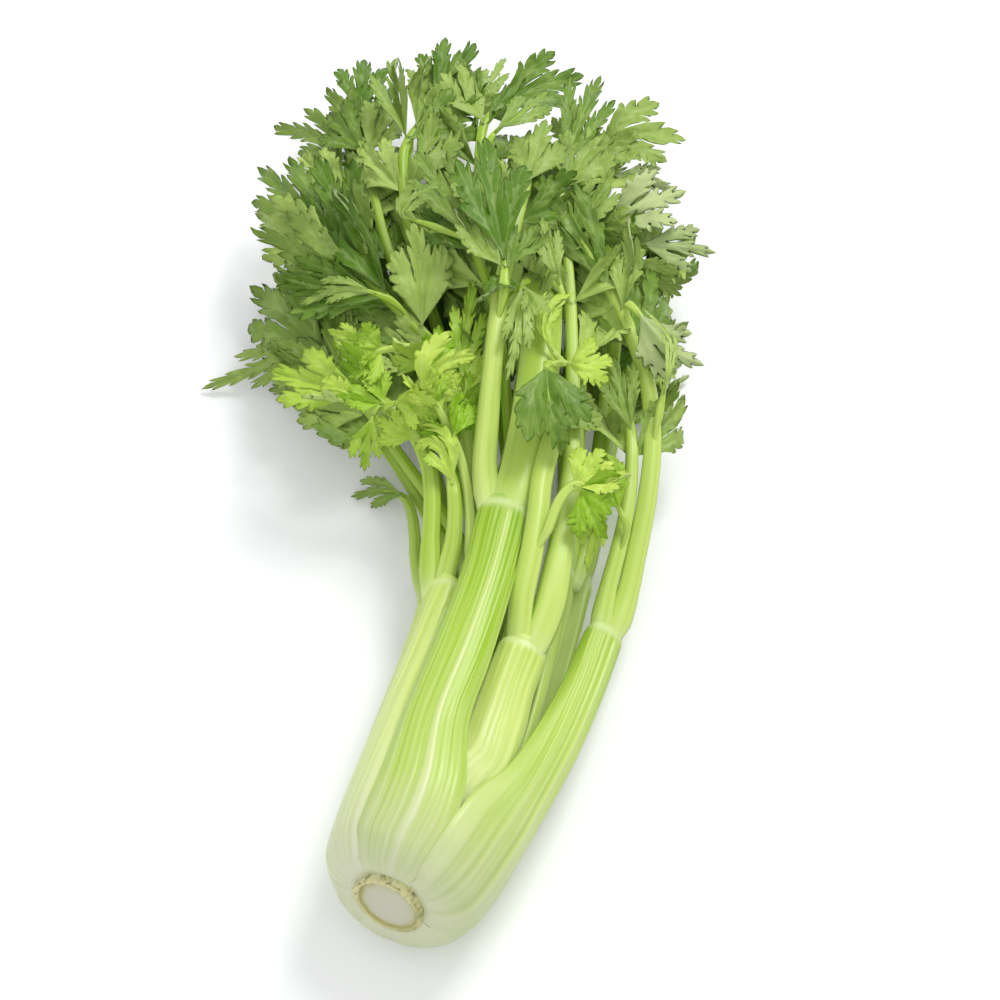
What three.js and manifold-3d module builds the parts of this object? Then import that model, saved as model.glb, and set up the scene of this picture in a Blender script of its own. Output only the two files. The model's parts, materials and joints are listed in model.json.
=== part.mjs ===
// A whole head of celery lying on its side, butt towards -Y and leaves towards +Y.
// The parts are those of the plant: the crown (the short stem that was cut from its root), the stalks that
// grow round it in an outer ring, an inner ring and a heart, and the leaves, each a leafstalk with its blade.
// Millimetres, +Z up. The head rests on the plane z = 0, under the middle of its bounding box.
import * as THREE from "three";
import Module from "manifold-3d";

const wasm = await Module();
wasm.setup();

// ---- Driving dimensions -------------------------------------------------------------------------------

const BUTT_RADIUS = 18; // the cut face of the crown
const CROWN_DEPTH = 36; // from the cut face to the growing point inside the heart
const CUT_SLANT = 13; // degrees that the cut face looks upwards
const SLANT_REACH = 60; // how far into the bunch the bases of the stalks follow that slant
const GAP = 0.6; // clear space kept between neighbouring parts
const BLADE_THICKNESS = 1.3;
const LAY_STEP = 1.5; // a leaf is moved by this much at a time until it clears what lies below it
const MAX_LIFT = 30;
const MAX_TRIM = 9;

// The line that the bunch grows along, from the middle of the cut face to the end of the stalks.
const BUNCH_AXIS = new THREE.CatmullRomCurve3(
  [[-53, -229, 42], [-29.5, -180, 42], [-9, -114, 40], [17, -18, 38]].map((p) => new THREE.Vector3(...p)),
);
const UP = new THREE.Vector3(0, 0, 1);

// How far the outer surface of each ring of stalks stands from the bunch axis: [distance along, radius].
const RING_OF = {
  outer: { profile: [[0.5, 21.6], [3, 29], [14, 37.5], [43, 42.5]], share: 72, thick: [2.6, 6, 8.5, 9] },
  inner: { profile: [[15, 20], [26, 28], [42, 31], [62, 31]], share: 80, thick: [2.5, 4.5, 6.5, 7] },
  heart: { profile: [[34, 9], [46, 12], [62, 13], [80, 13]], share: 150, thick: [2, 3.5, 4.5, 5] },
};

// ---- Small helpers ------------------------------------------------------------------------------------

const vec = (p) => new THREE.Vector3(...p);
const radians = THREE.MathUtils.degToRad;
const mix = THREE.MathUtils.lerp;

// The value at t of a list of values spread evenly over 0..1.
function along(values, t) {
  const x = THREE.MathUtils.clamp(t, 0, 1) * (values.length - 1);
  const i = Math.min(Math.floor(x), values.length - 2);
  return mix(values[i], values[i + 1], x - i);
}

function vectorAlong(vectors, t) {
  return vec(["x", "y", "z"].map((axis) => along(vectors.map((v) => v[axis]), t)));
}

function centre(points) {
  return points.reduce((sum, p) => sum.add(p), new THREE.Vector3()).divideScalar(points.length);
}

// A frame across a path: up towards the face, side to the left of the way ahead.
function frame(at, ahead, face) {
  const side = new THREE.Vector3().crossVectors(face, ahead).normalize();
  return { at, side, up: new THREE.Vector3().crossVectors(ahead, side) };
}

// The point at (x, y) of the plane across a path, pressed flat where it would go below the table.
function inFrame({ at, side, up }, x, y) {
  const p = at.clone().addScaledVector(side, x).addScaledVector(up, y);
  p.z = Math.max(p.z, 0);
  return p;
}

// A closed skin through rings of points, each counter-clockwise about the way ahead, with a pole at each end.
function skin(rings, startPole, endPole) {
  const n = rings[0].length;
  const points = [...rings.flat(), startPole, endPole];
  const start = points.length - 2;
  const end = points.length - 1;
  const faces = [];
  for (let i = 0; i < n; i++) {
    const j = (i + 1) % n;
    faces.push([start, j, i]);
    for (let k = 0; k < rings.length - 1; k++) {
      const [a, b] = [k * n + i, k * n + j];
      faces.push([a, b, b + n], [a, b + n, a + n]);
    }
    faces.push([end, (rings.length - 1) * n + i, (rings.length - 1) * n + j]);
  }
  const geometry = new THREE.BufferGeometry().setFromPoints(points);
  geometry.setIndex(faces.flat());
  geometry.computeVertexNormals();
  return geometry;
}

function solidOf(geometry) {
  const vertProperties = geometry.getAttribute("position").array;
  const triVerts = new Uint32Array(geometry.index.array);
  return new wasm.Manifold(new wasm.Mesh({ numProp: 3, vertProperties, triVerts }));
}

// ---- Crown --------------------------------------------------------------------------------------------

// The place on the bunch axis at a distance from the cut face, with the directions round it.
function bunchAt(distance) {
  const t = distance / BUNCH_AXIS.getLength();
  const ahead = BUNCH_AXIS.getTangentAt(t);
  const right = new THREE.Vector3().crossVectors(ahead, UP).normalize();
  const up = new THREE.Vector3().crossVectors(right, ahead);
  return { at: BUNCH_AXIS.getPointAt(t), ahead, right, up };
}

function outwardAt(place, degrees) {
  const a = radians(degrees);
  return place.up.clone().multiplyScalar(Math.cos(a)).addScaledVector(place.right, Math.sin(a));
}

// The knife went in aslant: near the cut, what is higher starts further in.
function slanted(p) {
  const { at, ahead, up } = bunchAt(0);
  const apart = p.clone().sub(at);
  const share = 1 - THREE.MathUtils.smoothstep(apart.dot(ahead), 0, SLANT_REACH);
  return p.clone().addScaledVector(ahead, Math.tan(radians(CUT_SLANT)) * apart.dot(up) * share);
}

// The crown is a turned shape: the cut face, a shoulder that carries the stalks, and the growing point.
// Each entry is [distance from the cut face, radius].
const CROWN_PROFILE = [[0, BUTT_RADIUS], [3, 17.6], [8, 17], [13, 16], [19, 13], [26, 9], [32, 5]];
const CROWN_SIDES = 28;

function crownGeometry() {
  const { at, ahead, right, up } = bunchAt(0);
  const turns = Array.from({ length: CROWN_SIDES }, (_, i) => (2 * Math.PI * i) / CROWN_SIDES);
  const rings = CROWN_PROFILE.map(([s, r]) => turns.map((a) => at.clone().addScaledVector(ahead, s)
    .addScaledVector(right, r * Math.sin(a)).addScaledVector(up, r * Math.cos(a))).map(slanted));
  return skin(rings, at.clone(), at.clone().addScaledVector(ahead, CROWN_DEPTH));
}

// ---- Stalks -------------------------------------------------------------------------------------------

// around: degrees from the top of the bunch, clockwise seen from the butt. share: degrees of the bunch that
// the stalk takes up, where that isn't the share of its ring. width, measured round the curved outer surface,
// thick and curl, the radius of that surface, are those of the free stalk up to its joint. rise: where the
// middle of the outer surface runs after the bunch. face: where it looks at the joint.
const STALKS = [
  { name: "front_stalk", ring: "outer", around: -8, share: 62, width: [37, 37, 33], thick: 12, curl: 17,
    face: [0, -0.2, 1], rise: [[-29, -137, 76], [-10.5, -80, 70], [3, -17, 62]] },
  { name: "left_stalk", ring: "outer", around: -77, share: 78, width: [46, 40, 31], thick: 11, curl: 17,
    face: [-0.75, 0, 0.65], rise: [[-55, -122, 46], [-42, -82, 42], [-33, -51, 40]] },
  { name: "right_stalk", ring: "outer", around: 64, share: 80, width: [46, 35, 26], thick: 12, curl: 14,
    face: [0.45, 0, 0.9], rise: [[21, -164, 44], [39, -120, 35], [55, -70, 27]] },
  { name: "under_left_stalk", ring: "outer", around: -150, share: 68, width: [44, 34, 26], thick: 11,
    curl: 18, face: [-0.2, 0, -1], rise: [[-42, -120, -1], [-28, -70, -1], [-16, -25, 0]] },
  { name: "under_right_stalk", ring: "outer", around: 138, share: 68, width: [44, 34, 26], thick: 11,
    curl: 18, face: [0.2, 0, -1], rise: [[11, -130, -1], [26, -80, -1], [38, -30, 0]] },
  { name: "inner_front_stalk", ring: "inner", around: 22, width: [38, 37, 29], thick: 9, curl: 17,
    face: [0.2, 0, 1], rise: [[-4, -152, 55.5], [3, -124, 53.5], [13, -93, 54]] },
  { name: "inner_right_stalk", ring: "inner", around: 116, width: [26, 21, 18], thick: 9, curl: 14,
    face: [0.9, 0, 0.3], rise: [[17.5, -126, 24.5], [28, -85, 23], [38, -36, 22.5]] },
  { name: "inner_left_stalk", ring: "inner", around: -66, width: [32, 24, 20], thick: 9, curl: 14,
    face: [-0.9, 0, 0.5], rise: [[-32, -120, 42], [-24, -80, 40], [-16, -40, 39]] },
  { name: "inner_under_stalk", ring: "inner", around: -158, width: [34, 26, 20], thick: 9, curl: 14,
    face: [0, 0, -1], rise: [[-20, -120, 19], [-6, -75, 17], [8, -30, 17]] },
  { name: "heart_right_stalk", ring: "heart", around: 78, width: [20, 17, 13], thick: 7, curl: 9,
    face: [0.6, 0, 0.8], rise: [[-3, -120, 33], [7, -85, 34], [15, -50, 36]] },
  { name: "heart_left_stalk", ring: "heart", around: -126, width: [20, 17, 13], thick: 7, curl: 9,
    face: [-0.6, 0, -0.8], rise: [[-16, -110, 30], [-8, -75, 31], [1, -40, 31]] },
];

// A crescent: the ribbed outer face is an arc, and the hollow inner face follows it a thickness inside.
function crescent(place, halfWidth, radius, thick) {
  const half = Math.min(halfWidth / radius, radians(105));
  const at = (share, depth) => {
    const a = share * half;
    return inFrame(place, (radius - depth) * Math.sin(a), (radius - depth) * Math.cos(a) - radius);
  };
  const outer = [0.64, 0.22, -0.22, -0.64].map((share) => at(share, 0));
  const inner = [-0.66, 0, 0.66].map((share) => at(share, share ? 0.72 * thick : thick));
  return [at(1, 0.3 * thick), ...outer, at(-1, 0.3 * thick), ...inner];
}

const STALK_RINGS = [0, 0.3, 0.62, 1, 1.5, 2, 2.6, 3.2, 3.9, 4.6, 5.3, 5.75, 5.9, 6]; // in path points
const JOINT_AT = 0.93; // share of the rise where the stalk is thickest, just before the leafstalks
const JOINT_SWELL = 0.1;
const END_SCALE = 0.97; // the stalk narrows again at its very end

function stalkGeometry(stalk) {
  const ring = RING_OF[stalk.ring];
  const places = ring.profile.map(([s, r]) => ({ ...bunchAt(s), r }));
  const outward = places.map((p) => outwardAt(p, stalk.around));
  const bunchPath = places.map((p, i) => p.at.clone().addScaledVector(outward[i], p.r));
  const curve = new THREE.CatmullRomCurve3([...bunchPath, ...stalk.rise.map(vec)], false, "centripetal");
  const base = places.length - 1;
  const last = base + stalk.rise.length;
  const rings = STALK_RINGS.map((k) => {
    const inBunch = Math.min(k / base, 1);
    const risen = Math.max(0, (k - base) / (last - base));
    const face = vectorAlong(outward, inBunch).lerp(vec(stalk.face).normalize(), risen).normalize();
    const bunchRadius = along(places.map((p) => p.r), inBunch);
    const bunchWidth = radians(stalk.share ?? ring.share) * bunchRadius - 2 * GAP;
    const freeWidth = mix(bunchWidth, along(stalk.width, risen), Math.min(1, 3 * risen));
    const swell = k === last ? END_SCALE : 1 + JOINT_SWELL * Math.exp(-(((risen - JOINT_AT) / 0.05) ** 2));
    const halfWidth = 0.5 * swell * Math.min(bunchWidth, freeWidth);
    const radius = mix(bunchRadius, stalk.curl, Math.sqrt(risen));
    const thick = swell * mix(along(ring.thick, inBunch), stalk.thick, risen);
    const place = frame(curve.getPoint(k / last), curve.getTangent(k / last), face);
    return crescent(place, halfWidth, radius, thick).map(slanted);
  });
  return skin(rings, centre(rings[0]), centre(rings[rings.length - 1]));
}

// ---- Leaves -------------------------------------------------------------------------------------------

// Each leaf is a leafstalk and its blade. It grows from the joint of a stalk, or from the leafstalk that on
// names. The leaves are listed in the order in which they lie on one another, from the table upwards.
// path: its middle line. blade: the share of the path where the blade begins. width: of the blade. stem: the
// thickness of the leafstalk. fold: how far each half of the blade is turned up about the midrib, in degrees.
const LEAVES = [
  { name: "under_left_leaf_1", blade: 0.55, width: 53, stem: 9, fold: 4,
    path: [[-24, -21, 5], [-38, 50, 3], [-62, 110, 2], [-90, 150, 1], [-112, 184, 1]] },
  { name: "under_left_leaf_2", blade: 0.55, width: 64, stem: 9, fold: 4,
    path: [[-11, -21, 5], [-12, 60, 4], [-20, 140, 3], [-30, 200, 1], [-34, 252, 1]] },
  { name: "under_right_leaf_1", blade: 0.55, width: 41, stem: 9, fold: 4,
    path: [[45, -26, 5], [56, 40, 4], [68, 86, 3], [84, 116, 1], [100, 132, 1]] },
  { name: "under_right_leaf_2", blade: 0.55, width: 57, stem: 9, fold: 4,
    path: [[34, -26, 5], [34, 60, 4], [40, 140, 3], [48, 190, 1], [56, 236, 1]] },
  { name: "left_leaf_3", blade: 0.6, width: 17, stem: 7, fold: 10,
    path: [[-42, -49, 30], [-43, -15, 26], [-48, 8, 19], [-60, 19, 10], [-77, 21, 1]] },
  { name: "under_left_leaf_3", blade: 0.58, width: 23, stem: 8, fold: 14,
    path: [[-25, -21, 13], [-52, 30, 15], [-84, 74, 22], [-106, 97, 22], [-132, 93, 10], [-158, 88, 1]] },
  { name: "heart_left_leaf_3", blade: 0.65, width: 28, stem: 7, fold: 12,
    path: [[-4, -36, 20], [-40, 60, 24], [-80, 112, 28], [-100, 136, 28], [-118, 168, 18]] },
  { name: "under_right_leaf_3", blade: 0.74, width: 21, stem: 7, fold: 20,
    path: [[44, -26, 14], [54, 42, 17], [70, 100, 26], [79, 146, 40], [87, 142, 44], [88, 118, 34]] },
  { name: "inner_under_leaf_1", blade: 0.76, width: 34, stem: 8, fold: 14,
    path: [[10, -22, 18], [0, 60, 34], [-10, 150, 50], [-9, 220, 60], [16, 245, 58], [47, 270, 42]] },
  { name: "inner_under_leaf_2", blade: 0.7, width: 37, stem: 8, fold: 14,
    path: [[0, -22, 18], [-20, 60, 30], [-44, 140, 48], [-53, 195, 60], [-38, 232, 58], [-14, 294, 40]] },
  { name: "heart_left_leaf_2", blade: 0.74, width: 28, stem: 7, fold: 14,
    path: [[-6, -32, 28], [-40, 60, 36], [-66, 130, 38], [-82, 190, 42], [-96, 226, 38],
      [-126, 250, 22]] },
  { name: "heart_left_leaf_1", blade: 0.72, width: 32, stem: 7, fold: 14,
    path: [[2, -32, 32], [-28, 60, 42], [-58, 140, 50], [-74, 222, 50], [-76, 262, 42], [-76, 293, 28]] },
  { name: "inner_under_leaf_3", on: "inner_under_leaf_1", blade: 0.1, width: 15, stem: 4, fold: 16,
    path: [[-14, 226, 50], [-10, 244, 52], [3, 288, 34]] },
  { name: "under_left_leaf_4", blade: 0.58, width: 41, stem: 7, fold: 12,
    path: [[-14, -21, 14], [-46, 22, 26], [-74, 60, 38], [-92, 83, 42], [-113, 112, 36],
      [-131, 140, 20]] },
  { name: "inner_right_leaf_1", blade: 0.74, width: 32, stem: 8, fold: 14,
    path: [[43, -33, 21], [54, 52, 28], [60, 116, 40], [56, 148, 62], [76, 158, 70], [98, 174, 60]] },
  { name: "inner_right_leaf_2", blade: 0.78, width: 37, stem: 8, fold: 14,
    path: [[35, -33, 25], [41, 60, 38], [43, 150, 50], [46, 196, 56], [66, 214, 58], [102, 222, 46]] },
  { name: "inner_right_leaf_6", on: "inner_right_leaf_2", blade: 0.12, width: 14, stem: 4, fold: 14,
    path: [[43, 150, 60], [48, 140, 66], [56, 118, 60], [64, 93, 50]] },
  { name: "right_leaf_2", blade: 0.68, width: 23, stem: 9, fold: 20,
    path: [[49, -67, 26], [55, -45, 31], [61, -23, 36], [65, 0, 38], [67, 28, 42], [63, 50, 48],
      [57, 76, 50]] },
  { name: "left_leaf_2", blade: 0.6, width: 37, stem: 10, fold: 14, young: true,
    path: [[-37, -49, 38], [-34, -22, 46], [-35, 3, 54], [-44, 22, 62], [-61, 36, 68], [-83, 44, 66],
      [-117, 64, 52]] },
  { name: "heart_right_leaf_2", blade: 0.54, width: 37, stem: 8, fold: 14,
    path: [[16, -46, 35], [2, -10, 36], [-10, 30, 44], [-34, 80, 54], [-66, 112, 62], [-94, 152, 60],
      [-132, 213, 32]] },
  { name: "inner_left_leaf_3", blade: 0.55, width: 21, stem: 8, fold: 14, young: true,
    path: [[-9, -36, 36], [-15, 10, 46], [-19, 50, 58], [-17, 85, 64], [-14, 116, 61]] },
  { name: "inner_left_leaf_2", blade: 0.84, width: 14, stem: 5, fold: 16, young: true,
    path: [[-20, -36, 35], [-26, 8, 50], [-31, 45, 66], [-39, 62, 74], [-50, 61, 78], [-60, 55, 76],
      [-70, 62, 80], [-87, 72, 78]] },
  { name: "inner_front_leaf_2", blade: 0.74, width: 32, stem: 11, fold: 18,
    path: [[21, -90, 50], [27, -61, 54], [32, -27, 53], [36, 16, 50], [37, 62, 54], [36, 110, 60],
      [34, 150, 66], [32, 176, 70], [44, 220, 66], [54, 256, 54]] },
  { name: "right_leaf_1", blade: 0.66, width: 30, stem: 11, fold: 14,
    path: [[60, -67, 22], [69, -24, 30], [76, 14, 36], [77, 47, 40], [73, 72, 46], [62, 99, 56],
      [46, 127, 69], [30, 150, 78], [16, 174, 77]] },
  { name: "inner_front_leaf_1", blade: 0.74, width: 32, stem: 9, fold: 14,
    path: [[8, -90, 51], [11, -68, 56], [17, -39, 59], [22, 1, 61], [30, 26, 61], [46, 48, 56]] },
  { name: "front_leaf_3", blade: 0.62, width: 46, stem: 17, fold: 6,
    path: [[8, -14, 55], [17, 41, 60], [21, 88, 62], [20, 141, 62], [10, 200, 58]] },
  { name: "front_leaf_1", blade: 0.78, width: 30, stem: 11, fold: 14,
    path: [[-9, -14, 56], [-5, 35, 68], [0, 91, 75], [8, 139, 78], [16, 172, 80], [24, 205, 80]] },
  { name: "heart_right_leaf_1", blade: 0.7, width: 30, stem: 7, fold: 14,
    path: [[11, -46, 43], [8, -10, 44], [4, 36, 50], [-3, 100, 61], [-22, 150, 72], [-45, 197, 66]] },
  { name: "left_leaf_1", blade: 0.5, width: 20, stem: 10, fold: 10, young: true,
    path: [[-27, -49, 41], [-23, -30, 46], [-23, -10, 53], [-27, 6, 61], [-34, 14, 64], [-43, 12, 59]] },
  { name: "inner_left_leaf_1", blade: 0.62, width: 28, stem: 6, fold: 14, young: true,
    path: [[-14, -36, 45], [-17, 0, 54], [-26, 22, 66], [-36, 40, 78], [-26, 50, 82], [-12, 56, 78]] },
  { name: "inner_right_leaf_3", on: "inner_right_leaf_1", blade: 0.12, width: 25, stem: 4, fold: 16,
    path: [[60, 134, 50], [68, 134, 48], [80, 131, 42], [95, 126, 32]] },
  { name: "inner_right_leaf_4", on: "inner_right_leaf_1", blade: 0.12, width: 25, stem: 4, fold: 14,
    path: [[66, 142, 56], [78, 142, 56], [94, 144, 52], [114, 146, 44]] },
  { name: "inner_right_leaf_5", on: "inner_right_leaf_2", blade: 0.12, width: 21, stem: 4, fold: 30,
    path: [[54, 192, 52], [64, 194, 48], [78, 195, 42], [94, 197, 34]] },
  { name: "left_leaf_4", on: "left_leaf_2", blade: 0.12, width: 18, stem: 4, fold: 14, young: true,
    path: [[-62, 32, 68], [-64, 27, 64], [-67, 18, 52], [-68, 10, 42]] },
  { name: "left_leaf_5", on: "left_leaf_2", blade: 0.12, width: 23, stem: 4, fold: 14, young: true,
    path: [[-56, 30, 72], [-46, 30, 76], [-32, 24, 68]] },
  { name: "heart_right_leaf_3", on: "heart_right_leaf_2", blade: 0.12, width: 14, stem: 4, fold: 6,
    path: [[-58, 100, 66], [-68, 101, 71], [-85, 104, 68], [-102, 103, 56]] },
  { name: "heart_right_leaf_4", on: "heart_right_leaf_1", blade: 0.12, width: 14, stem: 4, fold: 20,
    path: [[-34, 140, 74], [-50, 146, 78], [-42, 156, 82], [-28, 162, 82]] },
  { name: "right_leaf_3", on: "right_leaf_1", blade: 0.12, width: 34, stem: 5, fold: 14,
    path: [[66, 98, 63], [70, 92, 65], [84, 72, 62], [104, 69, 50]] },
  { name: "right_leaf_4", on: "right_leaf_2", blade: 0.12, width: 21, stem: 4, fold: 14, young: true,
    path: [[62, -20, 44], [57, -10, 47], [51, 4, 50], [43, 7, 48]] },
  { name: "right_leaf_5", on: "right_leaf_1", blade: 0.12, width: 14, stem: 4, fold: 50,
    path: [[81, 44, 48], [84, 60, 52], [86, 80, 56], [72, 96, 62]] },
  { name: "inner_front_leaf_3", on: "inner_front_leaf_2", blade: 0.45, width: 16, stem: 8, fold: 14,
    young: true,
    path: [[24, -36, 66], [29, -24, 70], [37, -16, 71], [44, -21, 70], [47, -32, 63], [42, -55, 52]] },
  { name: "inner_front_leaf_4", on: "inner_front_leaf_2", blade: 0.12, width: 16, stem: 4, fold: 28,
    path: [[32, 100, 67], [30, 108, 69], [26, 124, 71], [21, 148, 71]] },
  { name: "inner_front_leaf_5", on: "front_leaf_3", blade: 0.12, width: 16, stem: 4, fold: 50, young: true,
    path: [[31, 60, 67], [25, 66, 72], [22, 78, 74], [27, 92, 74], [38, 100, 71]] },
  { name: "front_leaf_6", on: "front_leaf_1", blade: 0.12, width: 17, stem: 4, fold: 14,
    path: [[14, 106, 72], [11, 100, 76], [9, 72, 78], [3, 42, 74]] },
  { name: "front_leaf_5", on: "front_leaf_3", blade: 0.12, width: 25, stem: 4, fold: 14, young: true,
    path: [[30, 54, 74], [37, 50, 80], [45, 50, 81], [56, 56, 73]] },
  { name: "front_leaf_4", on: "front_leaf_3", blade: 0.12, width: 43, stem: 5, fold: 14,
    path: [[24, 54, 74], [23, 46, 80], [25, 22, 80], [30, 2, 68]] },
  { name: "front_leaf_2", on: "front_leaf_1", blade: 0.1, width: 51, stem: 6, fold: 10,
    path: [[2, 94, 84], [2, 106, 86], [-4, 146, 92], [-8, 188, 86]] },
  { name: "front_leaf_7", on: "front_leaf_1", blade: 0.1, width: 21, stem: 4, fold: 14,
    path: [[-6, 190, 80], [-2, 196, 82], [10, 208, 80], [25, 234, 66]] },
];

const LEAF_FACE = new THREE.Vector3(0, -0.5, 0.87);
const LIFT_WAY = new THREE.Vector3(0, -0.53, 0.85); // a leaf that lies on others is raised and leans back
const STEM_SHARES = [0, 0.2, 0.4, 0.6, 0.8]; // of the way from the start to the root of the blade
const BLADE_SHARES = [0, 0.1, 0.25, 0.42, 0.6, 0.78, 0.92, 1]; // of the way from there to the tip
const BLADE_SHAPE = [0.1, 0.5, 0.92, 1, 0.9, 0.68, 0.4, 0.16]; // half width at those places
const STEM_FLAT = 0.6; // share of the width that the flat underside takes, on the leafstalk
const BLADE_FLAT = 0.18; // and on the blade, where it is the keel below the midrib

// The five-sided section of a leaf: left edge, two points below, right edge, and the top of the midrib.
function leafSection(place, half, thick, fold, flat) {
  const [x, y] = [half * Math.cos(radians(fold)), half * Math.sin(radians(fold))];
  const low = [flat * x, flat * y - thick];
  return [[-x, y], [-low[0], low[1]], low, [x, y], [0, thick]].map((p) => inFrame(place, ...p));
}

const laidLeaves = {}; // name: { curve, base, lift, first }, the leaves as laid

// How much of its lift a leaf has taken up at a share of its path: none where it is held, all further on.
function raiseAt(share, first) {
  return THREE.MathUtils.smoothstep(share, first, first + 0.4 * (1 - first));
}

// How far a leaflet is carried up by the leafstalk that it grows from.
function carriedUp(leaf) {
  const parent = laidLeaves[leaf.on];
  if (!parent) return 0;
  const start = vec(leaf.path[0]);
  const gapAt = (share) => parent.curve.getPointAt(share).distanceTo(start);
  const shares = Array.from({ length: 41 }, (_, i) => i / 40);
  const nearest = shares.reduce((best, share) => (gapAt(share) < gapAt(best) ? share : best));
  return parent.base + parent.lift * raiseAt(nearest, parent.first);
}

// The skin of a leaf as laid, grown outwards by a margin.
function leafGeometry(leaf, { curve, base, lift, first }, margin) {
  const root = Math.max(leaf.blade, first + 0.06);
  const placeAt = (share) => {
    const at = curve.getPointAt(share).addScaledVector(LIFT_WAY, base + lift * raiseAt(share, first));
    return frame(at, curve.getTangentAt(share), LEAF_FACE);
  };
  const stem = STEM_SHARES.map((share) => {
    const radius = (leaf.stem / 2) * (1 - 0.3 * share);
    const at = placeAt(mix(first, root, share));
    return leafSection(at, radius + margin, 0.75 * radius + margin, 0, STEM_FLAT);
  });
  const blade = BLADE_SHARES.map((share, i) => {
    const half = Math.max((leaf.width / 2) * BLADE_SHAPE[i], i ? 0 : 0.35 * leaf.stem);
    const thick = i ? BLADE_THICKNESS / 2 : leaf.stem / 4;
    const fold = leaf.fold * Math.min(1, i / 3);
    const flat = i ? BLADE_FLAT : STEM_FLAT;
    return leafSection(placeAt(mix(root, 1, share)), half + margin, thick + margin, fold, flat);
  });
  return skin([...stem, ...blade], centre(stem[0]), centre(blade[blade.length - 1]));
}

// A leaf starts clear of what carries it, and is raised until it lies clear of all that was laid before.
function lay(leaf, below) {
  const curve = new THREE.CatmullRomCurve3(leaf.path.map(vec), false, "centripetal");
  const base = carriedUp(leaf);
  for (let trim = 0; trim <= MAX_TRIM; trim += LAY_STEP) {
    for (let lift = 0; lift <= MAX_LIFT; lift += LAY_STEP) {
      const laid = { curve, base, lift, first: trim / curve.getLength() };
      if (solidOf(leafGeometry(leaf, laid, GAP / 2)).intersect(below).isEmpty()) return laid;
    }
  }
  throw new Error(`${leaf.name} has no clear place`);
}

// ---- Put together -------------------------------------------------------------------------------------

const head = new THREE.Group();

function add(name, geometry, color, roughness) {
  const mesh = new THREE.Mesh(geometry, new THREE.MeshStandardMaterial({ color, roughness, metalness: 0 }));
  mesh.name = name;
  head.add(mesh);
  return solidOf(geometry);
}

const solids = [add("crown", crownGeometry(), 0xe6e6c8, 0.6)];
STALKS.forEach((stalk) => solids.push(add(stalk.name, stalkGeometry(stalk), 0xa9cf5f, 0.45)));
LEAVES.forEach((leaf) => {
  laidLeaves[leaf.name] = lay(leaf, wasm.Manifold.compose(solids));
  const geometry = leafGeometry(leaf, laidLeaves[leaf.name], 0);
  solids.push(add(leaf.name, geometry, leaf.young ? 0x9ccb45 : 0x5f8f38, 0.55));
});

// The origin is under the middle of the head, on the table.
const box = new THREE.Box3().setFromObject(head);
const middle = box.getCenter(new THREE.Vector3());
head.position.set(-middle.x, -middle.y, -box.min.z);

export default head;
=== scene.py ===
# %% [markdown]
# # A whole head of celery
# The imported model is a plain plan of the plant: the crown, eleven stalks and forty-eight leaves, each a
# closed solid that was skinned through rings of points. This script grows the real plant on that plan.
# Every fine piece finds its place by reading the rings of the solid that it stands for, so nothing has
# to be fitted.

import json
import math

import bmesh
import bpy
import numpy as np
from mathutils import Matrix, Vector
from mathutils.geometry import delaunay_2d_cdt


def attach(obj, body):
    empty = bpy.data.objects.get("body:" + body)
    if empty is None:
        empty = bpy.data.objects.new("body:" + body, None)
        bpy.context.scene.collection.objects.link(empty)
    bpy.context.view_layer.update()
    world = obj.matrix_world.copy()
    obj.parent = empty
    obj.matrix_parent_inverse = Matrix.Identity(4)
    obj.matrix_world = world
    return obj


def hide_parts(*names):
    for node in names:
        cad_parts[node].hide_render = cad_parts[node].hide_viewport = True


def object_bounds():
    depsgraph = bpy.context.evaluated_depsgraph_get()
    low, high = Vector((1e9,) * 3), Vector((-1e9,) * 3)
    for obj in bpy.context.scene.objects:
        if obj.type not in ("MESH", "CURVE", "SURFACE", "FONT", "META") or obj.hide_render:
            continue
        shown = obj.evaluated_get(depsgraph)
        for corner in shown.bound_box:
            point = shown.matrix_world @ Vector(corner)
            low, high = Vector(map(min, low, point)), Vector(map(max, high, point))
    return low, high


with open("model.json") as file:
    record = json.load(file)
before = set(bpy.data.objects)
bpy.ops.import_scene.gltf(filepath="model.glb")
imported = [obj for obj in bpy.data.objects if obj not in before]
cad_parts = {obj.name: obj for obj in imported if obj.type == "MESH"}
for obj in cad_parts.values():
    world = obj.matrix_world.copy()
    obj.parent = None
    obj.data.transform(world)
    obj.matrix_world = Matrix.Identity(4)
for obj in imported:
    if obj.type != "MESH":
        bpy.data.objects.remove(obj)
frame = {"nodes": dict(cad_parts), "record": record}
plan_low, plan_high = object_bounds()
MM = 0.001
WHITE = (1.0, 1.0, 1.0, 1.0)
node_names = sorted(frame["nodes"])
stalk_names = [n for n in node_names if n.endswith("_stalk")]
leaf_names = [n for n in node_names if "_leaf_" in n]
print("plan", len(node_names), "solids,", [round(c, 3) for c in plan_high - plan_low], "m")

# %% [markdown]
# ## Camera, light and table
# The head lies on a white table and is seen from above its butt, with a long lens, so that its far
# leaves are hardly smaller than its near stalks. The light is that of a white room with one soft lamp
# behind it on the right, so the shadows are pale and fall to the left, and a weak one in front. The
# table and the room are white to the camera only, so they don't over-light the plant.

# %% Camera
scene = bpy.context.scene
CAMERA_TILT = math.radians(58)  # above the table
CAMERA_DISTANCE = 1.4
AIM = Vector((0.0221, -0.0273, -0.0216))  # from the middle of the plan's box to the point looked at

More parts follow.
